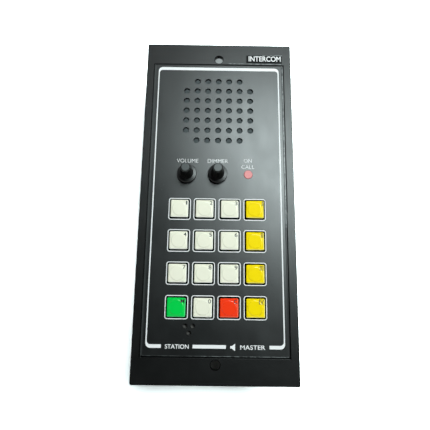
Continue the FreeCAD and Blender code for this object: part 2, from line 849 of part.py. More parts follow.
def make_rear_case():
    """The open-topped steel box: screw holes, side vents, a cable entry, and terminal and earth holes."""
    box = rounded_block(0, 0, case_width, case_height, 0, case_depth, case_corner_radius)
    box = box.makeFillet(case_fold_radius, edges_at(box, 0))
    hollow = rounded_block(0, 0, case_inner_width, case_inner_height, case_wall,
                           case_depth + cut_overrun, case_corner_radius / 2)
    cuts = [hollow]
    for x, y in pillar_places():
        cuts.append(cylinder(x, y, -cut_overrun, case_wall + cut_overrun, case_screw_radius))
        cuts.append(Part.makeCone(case_screw_head_radius, case_screw_radius, case_screw_head_height,
                                  Vector(x, y, 0)))
    vent_middle = (case_depth + case_wall) / 2
    for vent in range(vent_count):
        y = vent_centre_y + (vent - (vent_count - 1) / 2) * vent_pitch
        cuts.append(make_vent_cutter(y, vent_middle))
    cuts.append(block(terminal_x, -case_height / 2, terminal_length + 2 * terminal_window_gap,
                      2 * (case_wall + cut_overrun), main_board_top - terminal_window_gap,
                      main_board_top + terminal_height + terminal_window_gap))
    through = 2 * (case_wall + cut_overrun)
    cuts.append(Part.makeCylinder(earth_root_radius + earth_stud_clearance, through,
                                  Vector(earth_stud_x, (-case_height - through) / 2, earth_stud_height),
                                  Vector(0, 1, 0)))
    cuts.append(Part.makeCylinder(cable_entry_radius, through,
                                  Vector(0, (case_height - through) / 2, cable_entry_z_share * case_depth),
                                  Vector(0, 1, 0)))
    return box.cut(cuts)


def make_case_pillar(x, y):
    """A hexagonal pillar from the panel to the case's floor, tapped for its screw."""
    pillar = hexagon(x, y, pillar_flats, case_wall, panel_back)
    return pillar.cut(cylinder(x, y, case_wall - cut_overrun, case_screw_length, case_screw_radius))


def make_case_screw(x, y):
    """A slotted countersunk screw, flush with the case's back."""
    head = Part.makeCone(case_screw_head_radius, case_screw_radius, case_screw_head_height, Vector(x, y, 0))
    thread = cylinder(x, y, case_screw_head_height, case_screw_length, case_screw_radius)
    slot = block(x, y, 2 * case_screw_head_radius, case_screw_slot_width, 0, case_screw_slot_depth)
    return head.fuse(thread).cut(slot).removeSplitter()


def standoff_places():
    """The main board's four corners."""
    return [(side * standoff_x, end * standoff_y) for side in (-1, 1) for end in (-1, 1)]


def make_main_board():
    """The main circuit board on its standoffs."""
    board = block(0, 0, main_board_width, main_board_height, main_board_bottom, main_board_top)
    return board.cut([cylinder(x, y, main_board_bottom - cut_overrun, main_board_top + cut_overrun,
                               standoff_screw_radius + stud_hole_clearance) for x, y in standoff_places()])


def make_board_fixing(x, y):
    """A standoff on the case's floor, and the screw that holds the board on it."""
    standoff = tube(x, y, case_wall, main_board_bottom, standoff_radius, standoff_screw_radius)
    head = cylinder(x, y, main_board_top, main_board_top + standoff_head_height, standoff_head_radius)
    thread = cylinder(x, y, case_wall, main_board_top, standoff_screw_radius)
    slot = block(x, y, 2 * standoff_head_radius, terminal_slot_width,
                 main_board_top + standoff_head_height / 2, main_board_top + standoff_head_height)
    return [standoff, head.fuse(thread).cut(slot).removeSplitter()]


def make_transformer_core():
    """The laminated core, with a window each side of its middle limb."""
    low = main_board_top
    core = block(transformer_x, transformer_y, core_length, core_thickness, low, low + core_height)
    window_width = (core_length - 4 * core_limb) / 2
    windows = [block(transformer_x + side * (core_limb + window_width / 2), transformer_y, window_width,
                     core_thickness + 2 * cut_overrun, low + core_limb, low + core_height - core_limb)
               for side in (-1, 1)]
    return core.cut(windows)


def make_transformer_winding():
    """The wound bobbin round the core's middle limb."""
    window_width = (core_length - 4 * core_limb) / 2
    low = main_board_top + core_limb + winding_gap
    high = main_board_top + core_height - core_limb - winding_gap
    outer_width = 2 * (core_limb + window_width - winding_gap)
    coil = rounded_block(transformer_x, transformer_y, outer_width, winding_depth, low, high,
                         window_width - winding_gap)
    limb = block(transformer_x, transformer_y, 2 * core_limb, core_thickness, low - cut_overrun,
                 high + cut_overrun)
    return coil.cut(limb)


def make_capacitor(place):
    """A standing electrolytic capacitor with the groove round its foot."""
    y = capacitor_first_y + place * capacitor_pitch
    low = main_board_top
    groove_middle = low + capacitor_groove_height
    return turned([
        (0, low),
        (capacitor_radius, low),
        (capacitor_radius, groove_middle - capacitor_groove),
        (capacitor_radius - capacitor_groove, groove_middle),
        (capacitor_radius, groove_middle + capacitor_groove),
        (capacitor_radius, low + capacitor_height),
        (0, low + capacitor_height),
    ], capacitor_x, y)


def make_chip(place, legs_a_side):
    """A dual in-line package that stands on its legs."""
    y = chip_first_y + place * chip_pitch_y
    length = legs_a_side * chip_leg_pitch
    low = main_board_top + chip_lift
    body = block(chip_x, y, length, chip_width, low, low + chip_height)
    legs = []
    for leg in range(legs_a_side):
        x = chip_x + (leg - (legs_a_side - 1) / 2) * chip_leg_pitch
        for side in (-1, 1):
            legs.append(block(x, y + side * (chip_width + chip_leg_thickness) / 2, chip_leg_width,
                              chip_leg_thickness, main_board_top, low + chip_height / 2))
    return body.fuse(legs).removeSplitter()


def make_heat_sink():
    """The finned heat sink that stands on the main board."""
    low = main_board_top
    base = block(heat_sink_x, heat_sink_y, heat_sink_base, heat_sink_length, low, low + heat_sink_height)
    pitch = (heat_sink_length - heat_sink_fin_thickness) / (heat_sink_fin_count - 1)
    fins = []
    for fin in range(heat_sink_fin_count):
        y = heat_sink_y + (fin - (heat_sink_fin_count - 1) / 2) * pitch
        fins.append(block(heat_sink_x - (heat_sink_base + heat_sink_fin_depth) / 2, y,
                          heat_sink_fin_depth, heat_sink_fin_thickness, low, low + heat_sink_height))
    return base.fuse(fins).removeSplitter()


def make_amplifier_chip():
    """The power amplifier on the heat sink's flat side."""
    x = heat_sink_x + (heat_sink_base + amplifier_thickness) / 2
    low = main_board_top + amplifier_lift
    body = block(x, heat_sink_y, amplifier_thickness, amplifier_width, low, low + amplifier_height)
    legs = [block(x, heat_sink_y + (leg - (amplifier_leg_count - 1) / 2) * amplifier_leg_pitch,
                  amplifier_leg_width, amplifier_leg_width, main_board_top, low)
            for leg in range(amplifier_leg_count)]
    return body.fuse(legs).removeSplitter()


def make_header(y, low_z, high_z):
    """A header that grips one end of the flat cable."""
    shell = block(ribbon_x, y, ribbon_width + 2 * header_end, header_depth, low_z, high_z)
    slot = block(ribbon_x, y, ribbon_width, ribbon_thickness, low_z, high_z)
    return shell.cut(slot)


def make_ribbon_headers():
    """One header under the key board and one on the main board."""
    return [make_header(ribbon_y, board_bottom - header_height, board_bottom),
            make_header(ribbon_y + ribbon_offset, main_board_top, main_board_top + header_height)]


def make_ribbon_cable():
    """The flat cable: down from the upper header, across, and down into the lower one."""
    top = board_bottom - header_height / 2
    bottom = main_board_top + header_height / 2
    middle = (top + bottom) / 2
    near = ribbon_y
    far = ribbon_y + ribbon_offset
    share = math.sqrt(0.5)
    path = Part.Wire([
        Part.LineSegment(Vector(0, near, top), Vector(0, near, middle + ribbon_bend)).toShape(),
        Part.Arc(Vector(0, near, middle + ribbon_bend),
                 Vector(0, near + ribbon_bend * (1 - share), middle + ribbon_bend * (1 - share)),
                 Vector(0, near + ribbon_bend, middle)).toShape(),
        Part.LineSegment(Vector(0, near + ribbon_bend, middle),
                         Vector(0, far - ribbon_bend, middle)).toShape(),
        Part.Arc(Vector(0, far - ribbon_bend, middle),
                 Vector(0, far - ribbon_bend * (1 - share), middle - ribbon_bend * (1 - share)),
                 Vector(0, far, middle - ribbon_bend)).toShape(),
        Part.LineSegment(Vector(0, far, middle - ribbon_bend), Vector(0, far, bottom)).toShape(),
    ])
    left = ribbon_x - ribbon_width / 2
    half = ribbon_thickness / 2
    corners = [Vector(left, near - half, top),
               Vector(left, near + half, top),
               Vector(left + ribbon_width, near + half, top),
               Vector(left + ribbon_width, near - half, top)]
    section = Part.makePolygon(corners + corners[:1])
    return path.makePipeShell([section], True, True)


def terminal_centre_y():
    """The middle of the terminal block, whose front stands out of the case's lower end."""
    return -case_height / 2 - terminal_reach + terminal_depth / 2


def terminal_places():
    """The terminals' places along the block."""
    return [terminal_x + (place - (terminal_count - 1) / 2) * terminal_pitch
            for place in range(terminal_count)]


def make_terminal_block():
    """The screw terminal block, with a square wire entry and a screw well for each way."""
    top = main_board_top + terminal_height
    front_y = -case_height / 2 - terminal_reach
    body = block(terminal_x, terminal_centre_y(), terminal_length, terminal_depth, main_board_top, top)
    cuts = []
    for x in terminal_places():
        entry_low = main_board_top + terminal_entry_rise
        cuts.append(block(x, front_y, terminal_entry_width, 2 * terminal_entry_depth, entry_low,
                          entry_low + terminal_entry_height))
        cuts.append(cylinder(x, terminal_centre_y(), top - terminal_screw_depth, top + cut_overrun,
                             terminal_screw_radius))
    return body.cut(cuts)


def make_terminal_screw(x):
    """The slotted screw at the bottom of a terminal's well."""
    top = main_board_top + terminal_height
    low = top - terminal_screw_depth
    screw = cylinder(x, terminal_centre_y(), low, top - terminal_screw_depth / 3, terminal_screw_radius)
    slot = block(x, terminal_centre_y(), 2 * terminal_screw_radius, terminal_slot_width,
                 top - terminal_screw_depth / 3 - terminal_slot_depth, top)
    return screw.cut(slot)


def lying(solid):
    """Turns an upright fastener at the origin to point out of the case's lower end, in its place."""
    solid.rotate(Vector(0, 0, 0), Vector(1, 0, 0), 90)
    solid.translate(Vector(earth_stud_x, -case_height / 2, earth_stud_height))
    return solid


def make_earth_stud():
    """The earth stud through the case's lower end, with a nut inside, and a washer and nut outside."""
    inside = case_wall + earth_nut_thickness
    outside = earth_washer_thickness + earth_nut_thickness
    post_end = outside + earth_post_length
    post = cylinder(0, 0, outside, post_end, earth_post_radius)
    post = post.makeChamfer(earth_post_edge, edges_at(post, post_end))
    stud = cylinder(0, 0, -inside, outside, earth_root_radius).fuse(post)
    inner_nut = hexagon(0, 0, earth_nut_flats, -inside, -case_wall)
    washer = tube(0, 0, 0, earth_washer_thickness, earth_washer_radius, earth_root_radius)
    outer_nut = hexagon(0, 0, earth_nut_flats, earth_washer_thickness, outside)
    bore = cylinder(0, 0, -inside - cut_overrun, outside + cut_overrun, earth_root_radius)
    return [lying(stud), lying(inner_nut.cut(bore)), lying(washer), lying(outer_nut.cut(bore))]


def make_nodes():
    """Every sub-part by name, each a solid or a list of separate solids."""
    studs = [make_stud_with_nut(x, y, board_bottom) for x, y in stud_places()]
    speaker_studs = [make_stud_with_nut(x, y, basket_top - speaker_flange_thickness)
                     for x, y in speaker_screw_places()]
    nodes = {
        "front_panel": make_front_panel(),
        "front_overlay": make_front_overlay(),
        "station_label": make_station_label(),
        "panel_seal": make_panel_seal(),
        "grille_screen": make_grille_screen(),
        "speaker_gasket": make_speaker_gasket(),
        "speaker_basket": make_speaker_basket(),
        "speaker_cone": make_speaker_cone(),
        "speaker_magnet": make_speaker_magnet(),
        "speaker_fasteners": [piece for pair in speaker_studs for piece in pair],
        "volume_potentiometer": make_pot_body(volume_x),
        "dimmer_potentiometer": make_pot_body(dimmer_x),
        "potentiometer_nuts": [make_pot_nut(x) for x in (volume_x, dimmer_x)],
        "volume_shaft": make_shaft(volume_x),
        "dimmer_shaft": make_shaft(dimmer_x),
        "volume_knob": make_knob(volume_x),
        "dimmer_knob": make_knob(dimmer_x),
        "volume_knob_cap": make_knob_cap(volume_x),
        "dimmer_knob_cap": make_knob_cap(dimmer_x),
        "call_lamp_lens": make_lamp_lens(),
        "call_lamp_diode": [make_lamp_diode(), make_lamp_spacer()],
        "microphone_boot": make_microphone_boot(),
        "microphone_capsule": make_microphone_capsule(),
        "key_switches": [make_switch_housing(x, y) for x, y in key_places()],
        "key_board": make_key_board(),
        "panel_studs": [stud for stud, nut in studs],
        "board_spacers": [tube(x, y, board_top, panel_back, spacer_radius, stud_radius + stud_hole_clearance)
                          for x, y in stud_places()],
        "board_nuts": [nut for stud, nut in studs],
        "rear_case": make_rear_case(),
        "case_pillars": [make_case_pillar(x, y) for x, y in pillar_places()],
        "case_screws": [make_case_screw(x, y) for x, y in pillar_places()],
        "main_board": make_main_board(),
        "main_board_fixings": [piece for x, y in standoff_places() for piece in make_board_fixing(x, y)],
        "transformer_core": make_transformer_core(),
        "transformer_winding": make_transformer_winding(),
        "electrolytic_capacitors": [make_capacitor(place) for place in range(capacitor_count)],
        "integrated_circuits": [make_chip(place, legs) for place, legs in enumerate(chip_leg_counts)],
        "heat_sink": make_heat_sink(),
        "amplifier_chip": make_amplifier_chip(),
        "ribbon_headers": make_ribbon_headers(),
        "ribbon_cable": make_ribbon_cable(),
        "terminal_block": make_terminal_block(),
        "terminal_screws": [make_terminal_screw(x) for x in terminal_places()],
        "earth_stud": make_earth_stud(),
    }
    for name, (x, y) in zip(KEY_NAMES, key_places()):
        nodes[name] = make_key(x, y)
    return nodes


def export(nodes):
    """Writes each sub-part to its own STEP file."""
    os.makedirs("parts", exist_ok=True)
    for name, made in nodes.items():
        pieces = made if isinstance(made, list) else [made]
        solids = [solid for piece in pieces for solid in piece.Solids]
        shape = solids[0] if len(solids) == 1 else Part.makeCompound(solids)
        shape.exportStep(f"parts/{name}.step")
        print(f"{name}: {len(solids)} solids, {shape.Volume:.1f} mm3, valid {shape.isValid()}")


export(make_nodes())
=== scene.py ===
import json
import logging
import math
from dataclasses import dataclass
from enum import Enum
from typing import Any, Mapping, Sequence

import bmesh
import bpy
from mathutils import Matrix, Vector

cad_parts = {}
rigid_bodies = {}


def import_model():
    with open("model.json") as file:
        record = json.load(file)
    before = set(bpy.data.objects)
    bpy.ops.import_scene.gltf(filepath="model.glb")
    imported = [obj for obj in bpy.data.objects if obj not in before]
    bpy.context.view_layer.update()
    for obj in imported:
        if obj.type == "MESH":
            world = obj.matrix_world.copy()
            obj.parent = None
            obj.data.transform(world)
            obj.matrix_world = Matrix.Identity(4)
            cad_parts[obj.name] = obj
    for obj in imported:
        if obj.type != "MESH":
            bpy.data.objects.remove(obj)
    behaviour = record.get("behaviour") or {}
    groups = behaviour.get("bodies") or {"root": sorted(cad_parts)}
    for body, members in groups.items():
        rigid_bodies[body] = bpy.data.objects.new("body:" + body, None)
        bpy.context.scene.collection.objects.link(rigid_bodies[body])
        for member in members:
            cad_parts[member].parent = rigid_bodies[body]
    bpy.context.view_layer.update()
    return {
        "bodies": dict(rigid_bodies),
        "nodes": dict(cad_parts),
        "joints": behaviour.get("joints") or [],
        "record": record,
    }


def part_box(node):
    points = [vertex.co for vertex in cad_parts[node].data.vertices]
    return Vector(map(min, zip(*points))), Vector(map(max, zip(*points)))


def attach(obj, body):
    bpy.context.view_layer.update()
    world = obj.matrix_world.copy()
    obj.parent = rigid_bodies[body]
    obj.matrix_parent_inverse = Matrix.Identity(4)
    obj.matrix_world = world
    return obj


# The looks of a console-mounted intercom station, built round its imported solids. Sizes are in
# millimetres unless a name says otherwise, and MM turns them into Blender's metres.

MM = 0.001
WHITE = (1.0, 1.0, 1.0)

Triple = tuple[float, float, float]
Four = tuple[float, float, float, float]
Point = tuple[float, float]

log = logging.getLogger("station")


# Node trees

class Kind(Enum):
    """What a wire carries, which decides the node that joins it to another."""

    VALUE = "VALUE"
    COLOUR = "RGBA"
    VECTOR = "VECTOR"
    SHADER = "SHADER"


class Axis(Enum):
    """The axes of the frame."""

    X = "X"
    Y = "Y"
    Z = "Z"


class Wire:
    """A node's output that Python's operators join to other wires and to numbers."""

    def __init__(self, graph: "Graph", socket: bpy.types.NodeSocket) -> None:
        """Wraps a socket.

        Args:
            graph: The graph that the socket is in.
            socket: An output socket.
        """
        self.graph = graph
        self.socket = socket
        self.kind = Kind(socket.type)

    def __add__(self, other: Any) -> "Wire":
        """This wire plus another."""
        return self.graph.join("ADD", self, other)

    def __radd__(self, other: Any) -> "Wire":
        """Another plus this wire."""
        return self.graph.join("ADD", other, self)

    def __sub__(self, other: Any) -> "Wire":
        """This wire less another."""
        return self.graph.join("SUBTRACT", self, other)

    def __rsub__(self, other: Any) -> "Wire":
        """Another less this wire."""
        return self.graph.join("SUBTRACT", other, self)

    def __mul__(self, other: Any) -> "Wire":
        """This wire times another."""
        return self.graph.join("MULTIPLY", self, other)

    def __rmul__(self, other: Any) -> "Wire":
        """Another times this wire."""
        return self.graph.join("MULTIPLY", other, self)

    def __truediv__(self, other: Any) -> "Wire":
        """This wire divided by another."""
        return self.graph.join("DIVIDE", self, other)

    def __rtruediv__(self, other: Any) -> "Wire":
        """Another divided by this wire."""
        return self.graph.join("DIVIDE", other, self)

    def __abs__(self) -> "Wire":
        """This value without its sign."""
        return self.graph.join("ABSOLUTE", self, 0.0)

    def sine(self) -> "Wire":
        """The sine of this value in radians."""
        return self.graph.join("SINE", self, 0.0)

    def hypotenuse(self, other: "Wire") -> "Wire":
        """The length of the line that runs this far across and another value up."""
        return self.graph.join("SQRT", self * self + other * other, 0.0)

    def most(self, other: Any) -> "Wire":
        """The larger of this value and another."""
        return self.graph.join("MAXIMUM", self, other)

    def wrapped(self, low: float, high: float) -> "Wire":
        """This value brought into a range by whole steps of its length."""
        return self.graph.node("ShaderNodeMath", {"operation": "WRAP"}, {0: self, 1: high, 2: low})

    def step(self, low: float, high: float) -> "Wire":
        """A smooth step of this value, 0 below low and 1 above high.

        Args:
            low: Where the step starts. It may be above high, for a step that falls.
            high: Where the step ends.

        Returns:
            The step.
        """
        rise = (0.0, 1.0) if low <= high else (1.0, 0.0)
        return self.graph.node("ShaderNodeMapRange", {"interpolation_type": "SMOOTHSTEP"},
                               {0: self, 1: min(low, high), 2: max(low, high), 3: rise[0], 4: rise[1]})

    def near(self, middle: float, half: float, soft: float) -> "Wire":
        """A mask that is 1 within half of a middle value, and fades over soft beyond that."""
        return abs(self - middle).step(half + soft, half)


class Graph:
    """A node tree of a material or the world, and the ways that this file adds nodes to it."""

    def __init__(self, tree: bpy.types.NodeTree) -> None:
        """Empties a node tree.

        Args:
            tree: The node tree.
        """
        self.tree = tree
        self.tree.nodes.clear()
        self.kept: dict[str, Wire] = {}

    def node(self, kind: str, settings: Mapping[str, Any] | None = None,
             sockets: Mapping[Any, Any] | None = None, output: Any = 0) -> Wire | None:
        """Adds one node.

        Args:
            kind: The node's type name.
            settings: The node's own settings, set first.
            sockets: Numbers, tuples or wires for the input sockets, by name or index.
            output: The name or index of the output to give back.

        Returns:
            The chosen output, or nothing for a node without outputs.
        """
        node = self.tree.nodes.new(kind)
        for name, value in (settings or {}).items():
            setattr(node, name, value)
        for name, value in (sockets or {}).items():
            self.feed(node.inputs[name], value)
        return Wire(self, node.outputs[output]) if len(node.outputs) else None

    def feed(self, socket: bpy.types.NodeSocket, value: Any) -> None:
        """Gives an input socket a link or a number of its own.

        Args:
            socket: The input socket.
            value: A wire, a number or a tuple.
        """
        if isinstance(value, Wire):
            self.tree.links.new(value.socket, socket)
        elif socket.type == Kind.COLOUR.value:
            colour = value if isinstance(value, tuple) else (value, value, value)
            socket.default_value = (*colour[:3], 1.0)
        elif socket.type == Kind.VECTOR.value and not isinstance(value, tuple):
            socket.default_value = (value, value, value)
        else:
            socket.default_value = value

    def join(self, operation: str, first: Any, second: Any) -> Wire:
        """Joins two values, colours or vectors by the node that suits them.

        Args:
            operation: The operation's name.
            first: A wire or a constant.
            second: A wire or a constant.

        Returns:
            The result.
        """
        items = (first, second)
        kinds = {item.kind for item in items if isinstance(item, Wire)}
        tinted = kinds == {Kind.VALUE} and any(isinstance(item, tuple) for item in items)
        if Kind.COLOUR in kinds or tinted:
            return self.mixed(1.0, first, second, operation)
        if Kind.VECTOR in kinds:
            return self.node("ShaderNodeVectorMath", {"operation": operation}, {0: first, 1: second})
        return self.node("ShaderNodeMath", {"operation": operation}, {0: first, 1: second})

    def mixed(self, mask: Any, first: Any, second: Any, blend: str = "MIX") -> Wire:
        """A colour that goes from first to second, or to their blend, as a mask goes from 0 to 1."""
        return self.node("ShaderNodeMix", {"data_type": "RGBA", "blend_type": blend},
                         {0: mask, 6: first, 7: second}, 2)

    @property
    def place(self) -> Wire:
        """The point on the surface, in the object's own coordinates.

        Returns:
            The point, in millimetres.
        """
        if "place" not in self.kept:
            self.kept["place"] = self.node("ShaderNodeTexCoord", output="Object") * (1 / MM)
        return self.kept["place"]

    def along(self, axis: Axis) -> Wire:
        """The surface point's place on an axis.

        Args:
            axis: The axis.

        Returns:
            The place, in millimetres.
        """
        if axis.value not in self.kept:
            self.kept[axis.value] = self.node("ShaderNodeSeparateXYZ", None, {0: self.place}, axis.value)
        return self.kept[axis.value]

    def reach(self, x: float, y: float) -> Wire:
        """The surface point's distance from a line along Z, in millimetres."""
        return (self.along(Axis.X) - x).hypotenuse(self.along(Axis.Y) - y)

    def noise(self, size: float, detail: float = 2.0, stretch: Triple = (1.0, 1.0, 1.0),
              seed: float = 0.0) -> Wire:
        """Smooth noise from 0 to 1.

        Args:
            size: How far apart its lumps are.
            detail: How many finer octaves are added.
            stretch: How much longer the lumps are along X, Y and Z.
            seed: Moves the pattern.

        Returns:
            The noise.
        """
        point = self.place * tuple(1 / (size * part) for part in stretch) + (seed, seed, seed)
        return self.node("ShaderNodeTexNoise", None, {"Vector": point, "Scale": 1.0, "Detail": detail})

    def cells(self, size: float, seed: float = 0.0) -> Wire:
        """The distance to the nearest of many scattered points, about a size apart, in sizes."""
        point = self.place * (1 / size) + (seed, seed, seed)
        return self.node("ShaderNodeTexVoronoi", None, {"Vector": point, "Scale": 1.0}, "Distance")

    def relief(self, height: Wire) -> Wire:
        """A normal that is bent by a height in millimetres."""
        return self.node("ShaderNodeBump", None, {"Height": height, "Distance": MM, "Strength": 1.0})

    def show(self, shader: Wire) -> None:
        """Makes a shader the material's surface."""
        self.node("ShaderNodeOutputMaterial", None, {"Surface": shader})


def new_material(name: str) -> tuple[bpy.types.Material, Graph]:
    """A material with an empty node tree.

    Args:
        name: The material's name.

    Returns:
        The material and its graph.
    """
    material = bpy.data.materials.new(name)
    material.use_nodes = True
    return material, Graph(material.node_tree)


# Finishes

BUILT: dict["Finish", bpy.types.Material] = {}


@dataclass(frozen=True)
class Finish:
    """A surface with fine grain, and slight unevenness of its colour and its polish.

    Attributes:
        name: The material's name.
        colour: Linear red, green and blue.
        roughness: The mean roughness.
        metallic: 1 for bare metal.
        ior: The refractive index.
        coat: The weight of a clear coat.
        coat_roughness: The coat's own roughness.
        grain_size: How far apart the grain's lumps are.
        grain_depth: How deep the grain is.
        mottle_size: How far apart the patches of colour are.
        mottle_share: How much the colour differs between patches.
        polish_share: How much the roughness differs between patches.
    """

    name: str
    colour: Triple
    roughness: float = 0.5
    metallic: float = 0.0
    ior: float = 1.5
    coat: float = 0.0
    coat_roughness: float = 0.1
    grain_size: float = 0.5
    grain_depth: float = 0.01
    mottle_size: float = 9.0
    mottle_share: float = 0.1
    polish_share: float = 0.1

    def material(self) -> bpy.types.Material:
        """Builds the material, unless it was built before.

        Returns:
            The material.
        """
        if self not in BUILT:
            BUILT[self], graph = new_material(self.name)
            graph.show(graph.node("ShaderNodeBsdfPrincipled", None, {
                "Base Color": self.tint(graph),
                "Roughness": self.polish(graph),
                "Normal": graph.relief(self.grain(graph)),
                "Metallic": self.metal(graph),
                "IOR": self.ior,
                "Coat Weight": self.gloss(graph),
                "Coat Roughness": self.coat_roughness,
            }))
        return BUILT[self]

    def tint(self, graph: Graph) -> Wire:
        """The colour over the surface."""
        patches = graph.noise(self.mottle_size, 3.0, seed=3.0)
        return self.colour * (patches * (2 * self.mottle_share) + (1 - self.mottle_share))

    def polish(self, graph: Graph) -> Wire:
        """The roughness over the surface."""
        patches = graph.noise(self.mottle_size * 0.7, 3.0, seed=11.0)
        return (patches * (2 * self.polish_share) + (1 - self.polish_share)) * self.roughness

    def gloss(self, graph: Graph) -> Wire | float:
        """The clear coat's weight over the surface."""
        return self.coat

    def metal(self, graph: Graph) -> Wire | float:
        """How metallic the surface is."""
        return self.metallic

    def grain(self, graph: Graph) -> Wire:
        """The surface's height."""
        return graph.noise(self.grain_size, 2.0, seed=5.0) * self.grain_depth


@dataclass(frozen=True)
class Line:
    """A straight mark along X or Y, such as a painted highlight or painted shade along an edge, or a dull
    strip.

    Attributes:
        axis: The axis that the line lies across.
        place: Where its middle is on that axis.
        half: Half its width.
        start: Where it starts along the other axis.
        end: Where it ends.
        weight: How strong it is.
        broken: Whether it comes and goes in short dashes.
        side_soft: How softly it ends at its sides.
        end_soft: How softly it ends at its ends.
    """

    axis: Axis
    place: float
    half: float
    start: float
    end: float
    weight: float = 1.0
    broken: bool = False
    side_soft: float = 0.15
    end_soft: float = 0.3

    def mask(self, graph: Graph) -> Wire:
        """1 on the line and 0 beside it.

        Args:
            graph: The material's graph.

        Returns:
            The mask.
        """
        other = Axis.Y if self.axis is Axis.X else Axis.X
        middle, reach = (self.start + self.end) / 2, (self.end - self.start) / 2
        mask = graph.along(self.axis).near(self.place, self.half, self.side_soft) * self.weight
        mask = mask * graph.along(other).near(middle, reach, self.end_soft)
        if self.broken:
            mask = mask * (graph.noise(3.0, 3.0, seed=8.0).step(0.36, 0.6) * 0.85 + 0.15)
        return mask


@dataclass(frozen=True)
class Ring:
    """A round mark about a line along Z.

    Attributes:
        middle: Its middle.
        radius: The radius of its middle line.
        half: Half its width.
        weight: How strong it is.
        soft: How softly it ends.
    """

    middle: Point
    radius: float
    half: float
    weight: float = 1.0
    soft: float = 0.12

    def mask(self, graph: Graph) -> Wire:
        """1 on the ring and 0 beside it."""
        return graph.reach(*self.middle).near(self.radius, self.half, self.soft) * self.weight


Marks = tuple[Line | Ring, ...]


@dataclass(frozen=True)
class LinedFinish(Finish):
    """A dark finish with coarser lumps under its grain, and painted highlights, dull marks and painted shade
    on it.

    Attributes:
        highlight_marks: The marks that are painted pale, as highlights where light catches an edge.
        highlight_colour: Their colour.
        dull_marks: The marks that are dull.
        dull_roughness: How much rougher those are.
        shade_marks: The marks that reflect nothing: painted shade in gaps and round holes.
        lump_size: How far apart the coarser lumps are.
        lump_depth: How deep those are.
    """

    highlight_marks: Marks = ()
    highlight_colour: Triple = (0.30, 0.32, 0.32)
    dull_marks: Marks = ()
    dull_roughness: float = 0.5
    shade_marks: Marks = ()
    lump_size: float = 1.6
    lump_depth: float = 0.03

    def lined(self, graph: Graph, colour: Wire) -> Wire:
        """Lays the painted highlights over a colour.

        Args:
            graph: The material's graph.
            colour: The colour.

        Returns:
            The colour with the marks on it.
        """
        # Each pale mark is a painted highlight along a lit edge.
        for mark in self.highlight_marks:
            colour = graph.mixed(mark.mask(graph), colour, self.highlight_colour)
        return colour

    def polish(self, graph: Graph) -> Wire:
        """The roughness, higher on the dull marks.

        Args:
            graph: The material's graph.

        Returns:
            The roughness.
        """
        roughness = super().polish(graph)
        for mark in self.dull_marks:
            roughness = roughness + mark.mask(graph) * self.dull_roughness
        return roughness

    def metal(self, graph: Graph) -> Wire | float:
        """Metallic on the dark marks, because a metal of this black colour reflects nothing, so they show as
        painted shade.

        Args:
            graph: The material's graph.

        Returns:
            How metallic the surface is.
        """
        metal = self.metallic
        # The dark marks are painted shade: black metal that reflects nothing.
        for mark in self.shade_marks:
            metal = mark.mask(graph).most(metal)
        return metal

    def grain(self, graph: Graph) -> Wire:
        """Fine grain over coarser lumps."""
        return super().grain(graph) + graph.noise(self.lump_size, 1.0, seed=15.0) * self.lump_depth


@dataclass(frozen=True)
class PowderCoat(LinedFinish):
    """Black textured paint on the panel, with dust in its grain.

    Attributes:
        dust_colour: The dust's colour.
        dust_share: How much of it there is.
    """

    dust_colour: Triple = (0.03, 0.032, 0.032)
    dust_share: float = 0.2

    def tint(self, graph: Graph) -> Wire:
        """Black, with dust in the grain and the painted highlights along lit edges.

        Args:
            graph: The material's graph.

        Returns:
            The colour.
        """
        specks = graph.noise(1.4, 4.0, seed=21.0).step(0.56, 0.82)
        patches = graph.noise(22.0, 2.0, seed=2.0).step(0.4, 0.7)
        dust = specks * patches * self.dust_share
        return self.lined(graph, graph.mixed(dust, super().tint(graph), self.dust_colour))


@dataclass(frozen=True)
class OverlayFilm(LinedFinish):
    """The dark printed film, with wiped smears and a few small pale specks.

    Attributes:
        smear_colour: The colour of the smears.
        speck_colour: The colour of small pale specks.
    """

    smear_colour: Triple = (0.006, 0.008, 0.008)
    speck_colour: Triple = (0.12, 0.13, 0.13)

    def tint(self, graph: Graph) -> Wire:
        """The film's dark ink, a little greyer where hands have wiped it.

        Args:
            graph: The material's graph.

        Returns:
            The colour.
        """
        smears = graph.noise(16.0, 4.0, stretch=(0.8, 2.0, 1.0), seed=31.0).step(0.42, 0.75)
        specks = graph.cells(7.5, seed=4.0).step(0.05, 0.02) * graph.noise(30.0, seed=6.0).step(0.45, 0.6)
        ink = graph.mixed(smears * 0.5, super().tint(graph), self.smear_colour)
        # The pale marks laid on here are painted highlights along the film's lit edges.
        return self.lined(graph, graph.mixed(specks * 0.5, ink, self.speck_colour))

    def polish(self, graph: Graph) -> Wire:
        """Satin, with smoother smears."""
        smears = graph.noise(13.0, 4.0, stretch=(1.0, 2.4, 1.0), seed=17.0).step(0.35, 0.7)
        return super().polish(graph) - smears * 0.03 + 0.01


